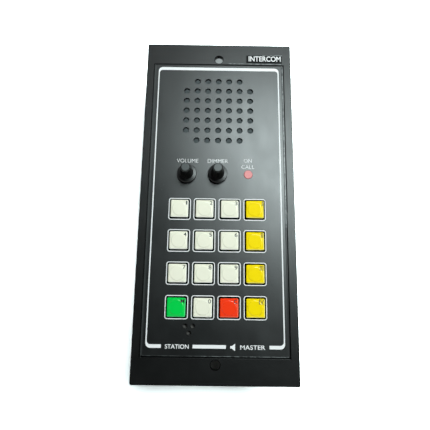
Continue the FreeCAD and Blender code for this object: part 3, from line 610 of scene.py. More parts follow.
@dataclass(frozen=True)
class KeyPlastic(Finish):
    """A moulded key cap with painted shade on its sides and round its dome's edge, painted highlights along
    its right and lower bevels, and polished on its dome's rim.

    Attributes:
        middle: The middle of one key.
        pitch: The distance between keys, across and up.
        bevel: The distance from a key's middle to the start of its bevels.
        bevel_highlight: The colour of the painted highlight on its right and lower bevels.
        dome: The dome's radius.
        rim_shade: How dark the painted shade round the dome's edge is.
        sides: The level of the upper edge of its sides, which are painted black as shade in the gap round
            the key.
        soft: How softly the bevels and the sides begin.
    """

    middle: Point = (0.0, 0.0)
    pitch: Point = (20.0, 25.4)
    bevel: float = 6.2
    bevel_highlight: Triple = WHITE
    dome: float = 5.85
    rim_shade: float = 0.12
    sides: float = 62.2
    soft: float = 0.15

    def tint(self, graph: Graph) -> Wire:
        """The plastic's colour, with painted highlights on the right and lower bevels, and painted shade on
        the sides and round the dome's edge.

        The painted shade is strongest along the lower left of the dome's edge, the side that faces away from
        the light.

        Args:
            graph: The material's graph.

        Returns:
            The colour.
        """
        across, up = self.from_middle(graph)
        # Painted shade: a dark ring at the dome's edge, strongest on its lower left, away from the light.
        rim_shade = across.hypotenuse(up).near(self.dome, 0.10, 0.16)
        rim_shade = rim_shade * ((across + up).step(4.0, -5.0) * 0.8 + 0.3) * self.rim_shade
        rim_shaded = graph.mixed(rim_shade, super().tint(graph), tuple(0.5 * part for part in self.colour))
        # Painted highlight: the right and lower bevels are lighter, where light catches them.
        right = across.step(self.bevel, self.bevel + self.soft)
        below = up.step(-self.bevel, -self.bevel - self.soft)
        top = graph.mixed(right.most(below) * 0.75, rim_shaded, self.bevel_highlight)
        # Painted shade: below the sides level the cap is near black, standing for the shade in the gap round
        # the key.
        return graph.mixed(graph.along(Axis.Z).step(self.sides, self.sides - self.soft), top, 0.003)

    def gloss(self, graph: Graph) -> Wire:
        """The dome's rim, which fingers have polished."""
        across, up = self.from_middle(graph)
        return across.hypotenuse(up).near(self.dome - 0.4, 0.35, 0.15) * 0.6

    def from_middle(self, graph: Graph) -> list[Wire]:
        """The distances across and up from the nearest key's middle, the same for all keys."""
        return [(graph.along(axis) - middle).wrapped(-pitch / 2, pitch / 2)
                for axis, middle, pitch in zip((Axis.X, Axis.Y), self.middle, self.pitch)]


@dataclass(frozen=True)
class KnobPlastic(Finish):
    """Black moulded plastic, with a painted highlight on the tips of its flutes, and dull round its cap.

    Attributes:
        middle: The knob's middle.
        end: The lowest level of the knob's end.
        dull_ring: The radius of the middle line of the dull ring in it, half its width, and its softness.
        tips_ring: The same for the flutes' tips.
        tip_highlight: The colour of the painted highlight on the flutes' tips.
    """

    middle: Point = (0.0, 0.0)
    end: float = 77.0
    dull_ring: Triple = (3.45, 0.25, 0.12)
    tips_ring: Triple = (3.9, 0.12, 0.1)
    tip_highlight: Triple = (0.14, 0.15, 0.15)

    def tint(self, graph: Graph) -> Wire:
        """Black, with a painted highlight on the tips of the flutes, broken up by noise."""
        # Painted highlight: a pale ring on the flute tips at the knob's end, where light catches them.
        tip_highlight_mask = self.on_end(graph, self.tips_ring) * graph.noise(1.5, 3.0, seed=9.0).step(0.3, 0.6)
        return graph.mixed(tip_highlight_mask, super().tint(graph), self.tip_highlight)

    def polish(self, graph: Graph) -> Wire:
        """The roughness, higher in the knob's end round its cap."""
        return super().polish(graph) + self.on_end(graph, self.dull_ring) * 0.5

    def on_end(self, graph: Graph, ring: Triple) -> Wire:
        """1 on a ring in the knob's end and 0 elsewhere."""
        return graph.reach(*self.middle).near(*ring) * graph.along(Axis.Z).step(self.end, self.end + 0.3)


@dataclass(frozen=True)
class WovenScreen(Finish):
    """Fine woven cloth behind the grille.

    Attributes:
        thread: The distance between threads.
        thread_depth: How far the threads stand out.
    """

    thread: float = 0.7
    thread_depth: float = 0.08

    def tint(self, graph: Graph) -> Wire:
        """Threads with dark gaps between them."""
        return super().tint(graph) * (self.weave(graph) * 0.75 + 0.45)

    def grain(self, graph: Graph) -> Wire:
        """The threads' height."""
        return self.weave(graph) * self.thread_depth

    def weave(self, graph: Graph) -> Wire:
        """0 in the gaps and 1 on the threads of a plain weave."""
        across, up = [(graph.along(axis) * (math.tau / self.thread)).sine() for axis in (Axis.X, Axis.Y)]
        return across * up * 0.5 + 0.5


@dataclass(frozen=True)
class SheetMetal(Finish):
    """Plated sheet with long drawn lines and a soft spangle.

    Attributes:
        lines: How much longer the drawn lines are along X, Y and Z.
        line_depth: How deep the lines are.
        metallic: 1, for bare metal.
    """

    lines: Triple = (1.0, 60.0, 1.0)
    line_depth: float = 0.004
    metallic: float = 1.0

    def tint(self, graph: Graph) -> Wire:
        """The plating, with spangle and faint finger marks.

        Args:
            graph: The material's graph.

        Returns:
            The colour.
        """
        spangle = graph.cells(6.0, seed=2.0) * 0.16 + 0.88
        marks = graph.noise(26.0, 4.0, seed=12.0).step(0.5, 0.75)
        dull = tuple(0.72 * part for part in self.colour)
        return graph.mixed(marks * 0.5, super().tint(graph) * spangle, dull)

    def grain(self, graph: Graph) -> Wire:
        """Drawn lines over the fine grain."""
        drawn = graph.noise(0.45, 2.0, stretch=self.lines, seed=19.0)
        return super().grain(graph) + drawn * self.line_depth


@dataclass(frozen=True)
class LayeredIron(Finish):
    """A stack of thin stampings, seen as fine lines on its edges.

    Attributes:
        sheet: The thickness of one stamping.
    """

    sheet: float = 0.5

    def grain(self, graph: Graph) -> Wire:
        """Grooves between the stampings."""
        return (graph.along(Axis.Y) / self.sheet).wrapped(0.0, 1.0).near(0.5, 0.3, 0.2) * 0.05


@dataclass(frozen=True)
class FlatCable(Finish):
    """Grey flat cable: round wires side by side, with the first one red.

    Attributes:
        wire: The distance between wires.
        first_x: Where the red wire's middle is.
        red: The red wire's colour.
    """

    wire: float = 1.27
    first_x: float = -20.2
    red: Triple = (0.35, 0.02, 0.02)

    def tint(self, graph: Graph) -> Wire:
        """Grey with a red first wire."""
        first = graph.along(Axis.X).near(self.first_x, 0.45, 0.1)
        return graph.mixed(first, super().tint(graph), self.red)

    def grain(self, graph: Graph) -> Wire:
        """The wires' round backs."""
        across = (graph.along(Axis.X) / self.wire).wrapped(-0.5, 0.5)
        return (1.0 - across * across * 4.0) * 0.3


# Meshes

def rounded_corners(left: float, right: float, bottom: float, top: float, radius: float,
                    steps: int = 8) -> list[Point]:
    """The outline of a rounded rectangle, from its lower right corner round to its lower left.

    Args:
        left: Its lowest X.
        right: Its highest X.
        bottom: Its lowest Y.
        top: Its highest Y.
        radius: The radius of its corners.
        steps: The number of straight steps in a corner.

    Returns:
        The outline's points.
    """
    centres = [(right - radius, bottom + radius, -90), (right - radius, top - radius, 0),
               (left + radius, top - radius, 90), (left + radius, bottom + radius, 180)]
    points = []
    for x, y, start in centres:
        for step in range(steps + 1):
            angle = math.radians(start + 90 * step / steps)
            points.append((x + radius * math.cos(angle), y + radius * math.sin(angle)))
    return points


def add_row(build: bmesh.types.BMesh, outline: Sequence[Point], level: float) -> list[bmesh.types.BMVert]:
    """Adds an outline's points to a bmesh at one level.

    Args:
        build: The bmesh.
        outline: The outline.
        level: The level.

    Returns:
        The points that were added.
    """
    return [build.verts.new((x * MM, y * MM, level * MM)) for x, y in outline]


def add_quads(build: bmesh.types.BMesh, row: Sequence[bmesh.types.BMVert],
              beside: Sequence[bmesh.types.BMVert], closed: bool = True) -> None:
    """Joins two rows of points with four-sided faces.

    Args:
        build: The bmesh.
        row: One row.
        beside: The other row, with as many points.
        closed: Whether each row runs on from its last point to its first.
    """
    count = len(row)
    for place in range(count if closed else count - 1):
        after = (place + 1) % count
        build.faces.new((row[place], row[after], beside[after], beside[place]))


def finished_mesh(name: str, build: bmesh.types.BMesh, smooth: bool = False) -> bpy.types.Mesh:
    """A mesh from a bmesh, with its faces turned outwards.

    Args:
        name: The mesh's name.
        build: The bmesh, which is freed.
        smooth: Whether it is shaded as one round surface.

    Returns:
        The mesh.
    """
    bmesh.ops.recalc_face_normals(build, faces=build.faces)
    mesh = bpy.data.meshes.new(name)
    build.to_mesh(mesh)
    build.free()
    if smooth:
        mesh.shade_smooth()
    return mesh


def band_mesh(name: str, outer: Sequence[Point], inner: Sequence[Point], low: float, high: float,
              closed: bool) -> bpy.types.Mesh:
    """A thin flat band between two outlines with the same number of points.

    Args:
        name: The mesh's name.
        outer: The outer outline.
        inner: The inner outline.
        low: The band's lower level.
        high: Its upper level.
        closed: Whether the band joins up into a ring.

    Returns:
        The mesh.
    """
    build = bmesh.new()
    rows = [add_row(build, outline, level)
            for outline, level in ((outer, high), (inner, high), (inner, low), (outer, low))]
    for row, beside in zip(rows, rows[1:] + rows[:1]):
        add_quads(build, row, beside, closed)
    if not closed:
        for end in (0, -1):
            build.faces.new([row[end] for row in rows])
    return finished_mesh(name, build)


def plate_mesh(name: str, outline: Sequence[Point], low: float, high: float) -> bpy.types.Mesh:
    """A thin flat plate.

    Args:
        name: The mesh's name.
        outline: The plate's outline.
        low: Its lower level.
        high: Its upper level.

    Returns:
        The mesh.
    """
    build = bmesh.new()
    rows = [add_row(build, outline, level) for level in (low, high)]
    for row in rows:
        build.faces.new(row)
    add_quads(build, *rows)
    return finished_mesh(name, build)


def turned_mesh(name: str, profile: Sequence[Point], centre: Triple, axis: Triple,
                steps: int = 64) -> bpy.types.Mesh:
    """A ring-shaped mesh turned from a closed profile.

    Args:
        name: The mesh's name.
        profile: Pairs of radius and height along the axis.
        centre: The point that the profile's heights are measured from.
        axis: The axis that it is turned about.
        steps: The number of steps round the axis.

    Returns:
        The mesh.
    """
    build = bmesh.new()
    turn = Vector((0.0, 0.0, 1.0)).rotation_difference(Vector(axis)).to_matrix()
    rings = []
    for step in range(steps):
        angle = math.tau * step / steps
        points = [Vector((radius * math.cos(angle), radius * math.sin(angle), height))
                  for radius, height in profile]
        rings.append([build.verts.new((turn @ point + Vector(centre)) * MM) for point in points])
    for ring, after in zip(rings, rings[1:] + rings[:1]):
        add_quads(build, ring, after)
    return finished_mesh(name, build, smooth=True)


def swells_mesh(name: str, centres: Sequence[Point], profile: Sequence[Point],
                steps: int = 20) -> bpy.types.Mesh:
    """Low round swells, all with the same profile.

    Args:
        name: The mesh's name.
        centres: The swells' middles.
        profile: Pairs of radius and level, from the foot in. The middle is as high as the last.
        steps: The number of steps round a swell.

    Returns:
        The mesh.
    """
    build = bmesh.new()
    around = [(math.cos(math.tau * step / steps), math.sin(math.tau * step / steps))
              for step in range(steps)]
    for x, y in centres:
        rings = [add_row(build, [(x + radius * side, y + radius * rise) for side, rise in around], level)
                 for radius, level in profile]
        for low, high in zip(rings, rings[1:]):
            add_quads(build, low, high)
        crown = build.verts.new((x * MM, y * MM, profile[-1][1] * MM))
        last = rings[-1]
        for point, after in zip(last, last[1:] + last[:1]):
            build.faces.new((point, after, crown))
        build.faces.new(rings[0])
    return finished_mesh(name, build, smooth=True)


@dataclass(frozen=True)
class Lettering:
    """Words that are stretched to fill a box.

    Attributes:
        words: What is written.
        left: The box's lowest X.
        right: Its highest X.
        bottom: Its lowest Y.
        top: Its highest Y.
        weight: How much thicker or thinner the strokes are than the font's own.
    """

    words: str
    left: float
    right: float
    bottom: float
    top: float
    weight: float = 0.0

    def mesh(self, name: str, low: float, high: float) -> bpy.types.Mesh:
        """The letters as thin solids between two levels.

        Args:
            name: The mesh's name.
            low: The lower level.
            high: The upper level.

        Returns:
            The mesh.
        """
        curve = bpy.data.curves.new(name, "FONT")
        curve.body = self.words
        curve.offset = self.weight
        curve.extrude = 0.5
        curve.resolution_u = 5
        holder = bpy.data.objects.new(name, curve)
        mesh = bpy.data.meshes.new_from_object(holder)
        mesh.materials.clear()
        bpy.data.objects.remove(holder)
        bpy.data.curves.remove(curve)
        points = [vertex.co.copy() for vertex in mesh.vertices]
        lowest = [min(point[axis] for point in points) for axis in range(3)]
        highest = [max(point[axis] for point in points) for axis in range(3)]
        for vertex in mesh.vertices:
            shares = [(vertex.co[axis] - lowest[axis]) / (highest[axis] - lowest[axis]) for axis in range(3)]
            vertex.co = Vector((self.left + shares[0] * (self.right - self.left),
                                self.bottom + shares[1] * (self.top - self.bottom),
                                low + shares[2] * (high - low))) * MM
        return mesh


def new_object(name: str, data: bpy.types.ID) -> bpy.types.Object:
    """Adds an object to the scene.

    Args:
        name: The object's name.
        data: Its mesh, lamp or camera.

    Returns:
        The object.
    """
    made = bpy.data.objects.new(name, data)
    bpy.context.scene.collection.objects.link(made)
    return made


class Workshop:
    """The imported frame, and the ways that a sub-assembly dresses it and adds to it."""

    def __init__(self, frame: Mapping[str, Any]) -> None:
        """Keeps the frame's solids.
        """
        self.nodes = frame["nodes"]

    def dress(self, finish: Finish, *names: str) -> None:
        """Gives solids of the frame a finish.

        Args:
            finish: The finish.
            names: The nodes' names.
        """
        for name in names:
            materials = self.nodes[name].data.materials
            materials.clear()
            materials.append(finish.material())
            log.info("%s is dressed in %s", name, finish.name)

    def add(self, mesh: bpy.types.Mesh, finish: Finish, body: str, slot: str) -> None:
        """Adds a piece that rides on a body.

        Args:
            mesh: The piece's mesh, whose name the piece takes.
            finish: Its finish.
            body: The body that it rides on.
            slot: The name of a slot in the record. It is not used.
        """
        piece = new_object(mesh.name, mesh)
        mesh.materials.append(finish.material())
        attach(piece, body)
        log.info("%s rides on %s in %s", mesh.name, body, finish.name)

    @staticmethod
    def middle(name: str) -> Triple:
        """The middle of a node's box, in millimetres."""
        low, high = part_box(name)
        return tuple((low + high) / (2 * MM))

    @staticmethod
    def top(name: str) -> float:
        """The highest level of a node, in millimetres."""
        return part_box(name)[1].z / MM


# The studio

@dataclass
class Studio:
    """The camera at the photograph's place, one long soft lamp, a dim room and a pale floor.

    Attributes:
        camera_place: Where the camera is, in metres.
        camera_turns: Its turns about X, Y and Z, in degrees.
        lens: Its focal length.
        sensor: Its sensor's width.
        clip: The nearest distance that it sees, in metres.
        lamp_place: Where the lamp is, in metres.
        lamp_size: Its length and width, in metres.
        lamp_turn: Its turn about its own axis, in degrees.
        lamp_power: Its power, in watts.
        lamp_colour: The colour of its light.
        room_low: How bright the room is at the horizon.
        room_high: How bright it is overhead.
        room_rise: The sines of the heights between which it goes from one to the other.
        floor_colour: How pale the floor is.
        floor_shown: How pale the camera sees it.
        fade: Where the floor starts to fade into the backdrop, and where it ends, in metres.
        patches: The X, Y, radius and paleness of soft patches of painted shade on the floor behind the
            panel's holes.
        shade_patch_soft: How softly they end.
        backdrop_radius: The backdrop's radius, in metres.
        backdrop_height: Its height, in metres.
        backdrop_steps: The number of steps round it.
    """

    camera_place: Triple = (-0.00218, -0.06468, 0.32768)
    camera_turns: Triple = (10.968, -0.110, 0.819)
    lens: float = 28.5
    sensor: float = 36.0
    clip: float = 0.01
    lamp_place: Triple = (0.385, 0.387, 1.19)
    lamp_size: Point = (1.067, 0.459)
    lamp_turn: float = -39.29
    lamp_power: float = 18.9
    lamp_colour: Triple = (0.87, 1.0, 1.0)
    room_low: float = 0.25
    room_high: float = 0.02
    room_rise: Point = (0.6, 0.1)
    floor_colour: float = 0.72
    floor_shown: float = 3.2
    fade: Point = (0.25, 0.8)
    patches: tuple[Four, ...] = ((0.5, 167.7, 3.4, 0.34), (0.5, -139.0, 3.4, 0.16))
    shade_patch_soft: float = 2.5
    backdrop_radius: float = 3.0
    backdrop_height: float = 3.0
    backdrop_steps: int = 96

    def build(self) -> None:
        """Sets up the camera, the light and the stage."""
        self.add_camera()
        self.add_lamp()
        self.light_room()
        self.add_floor()
        self.add_backdrop()
        bpy.context.scene.view_settings.view_transform = "Standard"
        log.info("the studio is set")

    def add_camera(self) -> None:
        """Adds the camera and makes it the scene's own."""
        camera = new_object("camera", bpy.data.cameras.new("camera"))
        camera.data.lens = self.lens
        camera.data.sensor_width = self.sensor
        camera.data.clip_start = self.clip
        turn = Matrix.Identity(4)
        for axis, angle in zip("XYZ", self.camera_turns):
            turn = turn @ Matrix.Rotation(math.radians(angle), 4, axis)
        camera.matrix_world = Matrix.Translation(self.camera_place) @ turn
        bpy.context.scene.camera = camera

    def add_lamp(self) -> None:
        """Adds the lamp above the panel's upper right."""
        light = bpy.data.lights.new("lamp", "AREA")
        light.shape = "ELLIPSE"
        light.size, light.size_y = self.lamp_size
        light.energy = self.lamp_power
        light.color = self.lamp_colour
        back = Vector(self.lamp_place).normalized()
        side = Vector((0.0, 1.0, 0.0)).cross(back).normalized()
        facing = Matrix((side, back.cross(side), back)).transposed().to_4x4()
        turn = Matrix.Rotation(math.radians(self.lamp_turn), 4, "Z")
        new_object("lamp", light).matrix_world = Matrix.Translation(self.lamp_place) @ facing @ turn

    def light_room(self) -> None:
        """Makes the room pale at the horizon and dark overhead, and white to the camera."""
        world = bpy.data.worlds.new("room")
        world.use_nodes = True
        bpy.context.scene.world = world
        graph = Graph(world.node_tree)
        direction = graph.node("ShaderNodeTexCoord", output="Generated")
        height = graph.node("ShaderNodeSeparateXYZ", None, {0: direction}, Axis.Z.value)
        room = height.step(*self.room_rise) * (self.room_low - self.room_high) + self.room_high
        seen = room.most(self.rays(graph, "Camera"))
        light = graph.node("ShaderNodeBackground", None, {"Color": seen, "Strength": 1.0})
        graph.node("ShaderNodeOutputWorld", None, {"Surface": light})

    @staticmethod
    def rays(graph: Graph, kind: str) -> Wire:
        """1 for rays of a kind and 0 for the others."""
        return graph.node("ShaderNodeLightPath", output=f"Is {kind} Ray")

    def whiten(self, graph: Graph, below: Wire, share: Wire | float) -> None:
        """Makes the surface go from a shader to plain white, for the rays that show the background.

        Those are the camera's, and the ones in gloss and glass.

        Args:
            graph: The material's graph.
            below: The shader.
            share: How white it is.
        """
        camera, glossy, glass = [self.rays(graph, kind) for kind in ("Camera", "Glossy", "Transmission")]
        white = graph.node("ShaderNodeEmission", None, {"Color": WHITE, "Strength": 1.0})
        seen = camera.most(glossy).most(glass) * share
        graph.show(graph.node("ShaderNodeMixShader", None, {0: seen, 1: below, 2: white}))

    def add_floor(self) -> bpy.types.Object:
        """Adds the floor, which fades into the backdrop but keeps the object's shadow.

        Returns:
            The floor.
        """
        material, graph = new_material("floor")
        pale = graph.mixed(self.rays(graph, "Camera"), self.floor_colour, self.floor_with_shade(graph))
        paper = graph.node("ShaderNodeBsdfDiffuse", None, {"Color": pale})
        distance = graph.node("ShaderNodeVectorMath", {"operation": "LENGTH"},
                              {0: graph.node("ShaderNodeTexCoord", output="Object")}, "Value")
        self.whiten(graph, paper, distance.step(*self.fade))
        build = bmesh.new()
        reach = self.backdrop_radius / MM
        corners = [(-reach, -reach), (reach, -reach), (reach, reach), (-reach, reach)]
        build.faces.new(add_row(build, corners, 0.0))
        return self.stand(finished_mesh("floor", build), material)

    def floor_with_shade(self, graph: Graph) -> Wire:
        """The floor as the camera sees it: pale, with patches of painted shade behind the panel's holes.

        Args:
            graph: The material's graph.

        Returns:
            The colour.
        """
        shown = self.floor_shown
        # Painted shade: darker patches on the floor where it is seen through the panel's holes.
        for x, y, radius, shade in self.patches:
            shown = graph.mixed(graph.reach(x, y).step(radius + self.shade_patch_soft, radius), shown, shade)
        return shown

    def add_backdrop(self) -> bpy.types.Object:
        """Adds the round backdrop, which only the camera, gloss and glass see.

        Returns:
            The backdrop.
        """
        material, graph = new_material("backdrop")
        self.whiten(graph, graph.node("ShaderNodeBsdfTransparent"), 1.0)
        build = bmesh.new()
        bmesh.ops.create_cone(build, segments=self.backdrop_steps, radius1=self.backdrop_radius,
                              radius2=self.backdrop_radius, depth=self.backdrop_height,
                              matrix=Matrix.Translation((0.0, 0.0, self.backdrop_height / 2)))
        return self.stand(finished_mesh("backdrop", build), material)

    @staticmethod
    def stand(mesh: bpy.types.Mesh, material: bpy.types.Material) -> bpy.types.Object:
        """Puts a stage piece in the scene."""
        mesh.materials.append(material)
        return new_object(mesh.name, mesh)


# The station

INK_SINK = 0.01
WHITE_INK = Finish("white_ink", (0.93, 0.89, 0.89), roughness=0.45, grain_size=0.3, grain_depth=0.004,
                   mottle_size=2.5, mottle_share=0.05)
BLACK_INK = Finish("black_ink", (0.012, 0.013, 0.013), roughness=0.5, grain_size=0.3, grain_depth=0.004)
ZINC = SheetMetal("zinc_plate", (0.62, 0.62, 0.60), roughness=0.34)
ZINC_FASTENER = Finish("zinc_fastener", (0.60, 0.60, 0.57), roughness=0.32, metallic=1.0, grain_size=0.25,
                       grain_depth=0.006)
ALUMINIUM = SheetMetal("turned_aluminium", (0.78, 0.78, 0.79), roughness=0.28, lines=(1.0, 1.0, 0.05))
RUBBER = Finish("black_rubber", (0.02, 0.02, 0.02), roughness=0.8, grain_depth=0.02)
FOAM = Finish("closed_cell_foam", (0.022, 0.022, 0.023), roughness=0.95, grain_size=0.5, grain_depth=0.12)


@dataclass
class FrontPlate:
    """The black panel, its foam seal, and the stick-on label.

    Attributes:
        word: What the label says.
        word_box: The left, right, bottom and top of the label's word.
        word_rise: How thick the label's ink is.
        hole_y: How far the mounting holes are from the middle.
        hole_radius: Their radius.
        edge_highlights: The edges that are painted pale: painted highlights where light catches them, partly
            scuffed paint.
        dull_edges: The edges that are dull.
        dark_edges: The edges that are in shade.
    """

    word: str = "INTERCOM"
    word_box: Four = (25.9, 53.9, 124.1, 129.2)
    word_rise: float = 0.04
    hole_y: float = 125.5
    hole_radius: float = 3.25
    # Painted highlights along the lit edges of the recess and the label, partly scuffed paint.
    edge_highlights: Marks = (Line(Axis.X, 55.05, 0.3, -22.0, 120.6, 0.7, True),
                         Line(Axis.X, -55.35, 0.3, -120.6, 120.6, 0.12),
                         Line(Axis.Y, 121.75, 0.25, 8.0, 54.0, 0.6, True),
                         Line(Axis.Y, 130.2, 0.2, 38.0, 55.0, 0.7, True))
    dull_edges: Marks = (Line(Axis.X, 56.2, 0.25, -10.0, 120.6), Line(Axis.Y, 120.6, 0.35, -56.0, 56.0))
    dark_edges: Marks = (Line(Axis.X, 55.8, 0.35, -120.6, -12.0, 0.9),
                         Line(Axis.X, -56.15, 0.3, -120.6, 120.6, 0.75),
                         Line(Axis.Y, -120.2, 0.35, -56.0, 56.0))

    def build(self, shop: Workshop) -> None:
        """Dresses the panel, the seal and the label, and prints the label.

        Args:
            shop: The workshop.
        """
        # Painted shade: dark rings round the mounting holes, so that the holes look dark inside.
        hole_shade_rims = tuple(Ring((0.0, end * self.hole_y), self.hole_radius + 0.3, 0.35, 0.9) for end in (-1, 1))
        paint = PowderCoat("black_powder_coat", (0.0010, 0.0012, 0.0012), roughness=0.36, ior=1.515,
                           grain_size=0.4, grain_depth=0.015, mottle_size=14.0, mottle_share=0.25,
                           lump_size=0.8, lump_depth=0.06, highlight_marks=self.edge_highlights,
                           dull_marks=self.dull_edges, shade_marks=self.dark_edges + hole_shade_rims)
        shop.dress(paint, "front_panel")
        shop.dress(FOAM, "panel_seal")
        shop.dress(Finish("black_label", (0.004, 0.004, 0.0045), roughness=0.6, ior=1.2, grain_size=0.8,
                          grain_depth=0.004), "station_label")
        level = shop.top("station_label")
        word = Lettering(self.word, *self.word_box, weight=0.018)
        shop.add(word.mesh("label_word", level - INK_SINK, level + self.word_rise), WHITE_INK, "station",
                 "label_film")


@dataclass
class PrintedOverlay:
    """The dark film in the recess, and the white lines and words printed on it.

    Attributes:
        ink_rise: How thick the ink is.
        border: The white border's left, right, bottom and top.
        border_side: The width of its sides.
        border_bars: The widths of its top and bottom bars.
        border_radius: The radius of its outer corners.
        bar_ends: Where the bottom left bar ends, the middle bar starts and ends, and the right one starts.
        bar_radius: The radius of the middle bar's corners.
        key_frame: Half the outer width of the frame round a key's window, and half the inner width.
        key_frame_radius: The radius of its outer corners, and of its inner ones.
        sign_middle: The middle of the loudspeaker sign beside the right-hand word.
        sign: The sign's outline, from its middle.
        words: The words on the film.
        edge_highlights: The film's edges that are painted pale: painted highlights where light catches them,
            broken into dashes.
        dull_edges: Its edges that are dull.
    """

    ink_rise: float = 0.04
    border: Four = (-52.2, 51.9, -114.0, 117.75)
    border_side: float = 0.9
    border_bars: Point = (2.7, 2.55)
    border_radius: float = 3.6
    bar_ends: Four = (-40.5, -17.0, 7.8, 40.2)
    bar_radius: float = 0.15
    key_frame: Point = (8.85, 8.22)
    key_frame_radius: Point = (2.0, 1.35)
    sign_middle: Point = (13.2, -112.9)
    sign: tuple[Point, ...] = ((-2.2, -0.9), (-0.9, -0.9), (1.4, -2.6), (1.4, 2.6), (-0.9, 0.9), (-2.2, 0.9))
    words: tuple[Lettering, ...] = (
        Lettering("VOLUME", -33.7, -16.0, 30.7, 33.9, weight=-0.014),
        Lettering("DIMMER", -8.2, 8.5, 30.7, 33.9, weight=-0.014),
        Lettering("ON", 21.6, 27.9, 31.4, 34.5, weight=-0.014),
        Lettering("CALL", 19.6, 29.9, 26.1, 29.2, weight=-0.014),
        Lettering("STATION", -37.6, -19.8, -114.45, -111.3, weight=0.012),
        Lettering("MASTER", 18.4, 37.1, -114.45, -111.3, weight=0.012),
    )
    # Painted highlights along the film's lit left and lower edges, brighter towards the right.
    edge_highlights: Marks = (Line(Axis.X, -54.6, 0.2, -120.0, 120.0, 0.1),
                         Line(Axis.Y, -119.45, 0.2, -56.0, -10.0, 0.15, True),
                         Line(Axis.Y, -119.45, 0.2, -10.0, 56.0, 0.4, True))
    dull_edges: Marks = (Line(Axis.X, 54.5, 0.25, -120.0, 120.0),)

    def build(self, shop: Workshop, keys: Sequence[str]) -> None:
        """Dresses the film and prints the border, the frames round the keys, and the words.

        Args:
            shop: The workshop.
            keys: The keys' nodes.
        """
        film = OverlayFilm("overlay_film", (0.0012, 0.0016, 0.0017), roughness=0.355, ior=1.636,
                           grain_size=0.55, grain_depth=0.008, mottle_size=20.0, mottle_share=0.2,
                           lump_size=0.9, lump_depth=0.025, highlight_marks=self.edge_highlights,
                           dull_marks=self.dull_edges)
        shop.dress(film, "front_overlay")
        level = shop.top("front_overlay")
        low, high = level - INK_SINK, level + self.ink_rise
        meshes = [self.border_mesh(low, high), self.bar_mesh(low, high), self.sign_mesh(low, high)]
        meshes += [self.frame_mesh(key, shop.middle(key), low, high) for key in keys]
        meshes += [word.mesh(f"overlay_word_{place}", low, high) for place, word in enumerate(self.words)]
        for mesh in meshes:
            shop.add(mesh, WHITE_INK, "station", "overlay_film")

    def border_mesh(self, low: float, high: float) -> bpy.types.Mesh:
        """The border, open between the bars at its foot.

        Args:
            low: The ink's lower level.
            high: Its upper level.

        Returns:
            The mesh.
        """
        left, right, bottom, top = self.border
        side, (above, below) = self.border_side, self.border_bars
        outer = rounded_corners(left, right, bottom, top, self.border_radius)
        inner = rounded_corners(left + side, right - side, bottom + below, top - above,
                                self.border_radius - side)
        end, _, _, start = self.bar_ends
        outer = [(start, bottom)] + outer + [(end, bottom)]
        inner = [(start, bottom + below)] + inner + [(end, bottom + below)]
        return band_mesh("overlay_border", outer, inner, low, high, closed=False)

    def bar_mesh(self, low: float, high: float) -> bpy.types.Mesh:
        """The bar in the middle of the foot.

        Args:
            low: The ink's lower level.
            high: Its upper level.

        Returns:
            The mesh.
        """
        _, start, end, _ = self.bar_ends
        bottom = self.border[2]
        outline = rounded_corners(start, end, bottom, bottom + self.border_bars[1], self.bar_radius, 3)
        return plate_mesh("overlay_middle_bar", outline, low, high)

    def sign_mesh(self, low: float, high: float) -> bpy.types.Mesh:
        """The plain loudspeaker sign."""
        outline = [(self.sign_middle[0] + x, self.sign_middle[1] + y) for x, y in self.sign]
        return plate_mesh("overlay_speaker_sign", outline, low, high)

    def frame_mesh(self, key: str, middle: Triple, low: float, high: float) -> bpy.types.Mesh:
        """The frame round one key's window.

        Args:
            key: The key's node.
            middle: The key's middle.
            low: The ink's lower level.
            high: Its upper level.

        Returns:
            The mesh.
        """
        x, y, _ = middle
        outer, inner = [rounded_corners(x - half, x + half, y - half, y + half, radius)
                        for half, radius in zip(self.key_frame, self.key_frame_radius)]
        return band_mesh(f"overlay_frame_{key}", outer, inner, low, high, closed=True)


@dataclass
class Speaker:
    """The speaker behind the grille, and its cloth, which the foam presses a little way into the holes.

    Attributes:
        count: The number of rows and columns of holes. The four corners have none.
        pitch: The distance between holes.
        swell: The cloth's profile in a hole, as pairs of radius and height above the screen.
    """

    count: int = 7
    pitch: float = 9.0
    swell: tuple[Point, ...] = ((2.45, -0.1), (2.42, 0.9), (2.2, 1.25), (1.7, 1.42), (0.9, 1.5))

    def build(self, shop: Workshop) -> None:
        """Dresses the speaker's pieces and adds the cloth's swells.

        Args:
            shop: The workshop.
        """
        cloth = WovenScreen("screen_cloth", (0.085, 0.096, 0.099), roughness=0.85, ior=1.3)
        shop.dress(cloth, "grille_screen")
        (x, y, _), level = shop.middle("grille_screen"), shop.top("grille_screen")
        last = self.count // 2
        places = range(-last, last + 1)
        centres = [(x + column * self.pitch, y + row * self.pitch)
                   for row in places for column in places if abs(row) + abs(column) < 2 * last]
        profile = [(radius, level + height) for radius, height in self.swell]
        shop.add(swells_mesh("screen_swells", centres, profile), cloth, "station", "screen_cloth")
        shop.dress(FOAM, "speaker_gasket")
        shop.dress(ZINC, "speaker_basket")
        shop.dress(Finish("pressed_paper", (0.03, 0.03, 0.03), roughness=0.9, grain_size=0.6,
                          grain_depth=0.05), "speaker_cone")
        shop.dress(Finish("ferrite", (0.05, 0.05, 0.055), roughness=0.55, metallic=0.5, grain_size=0.4,
                          grain_depth=0.03), "speaker_magnet")
        shop.dress(ZINC_FASTENER, "speaker_fasteners")


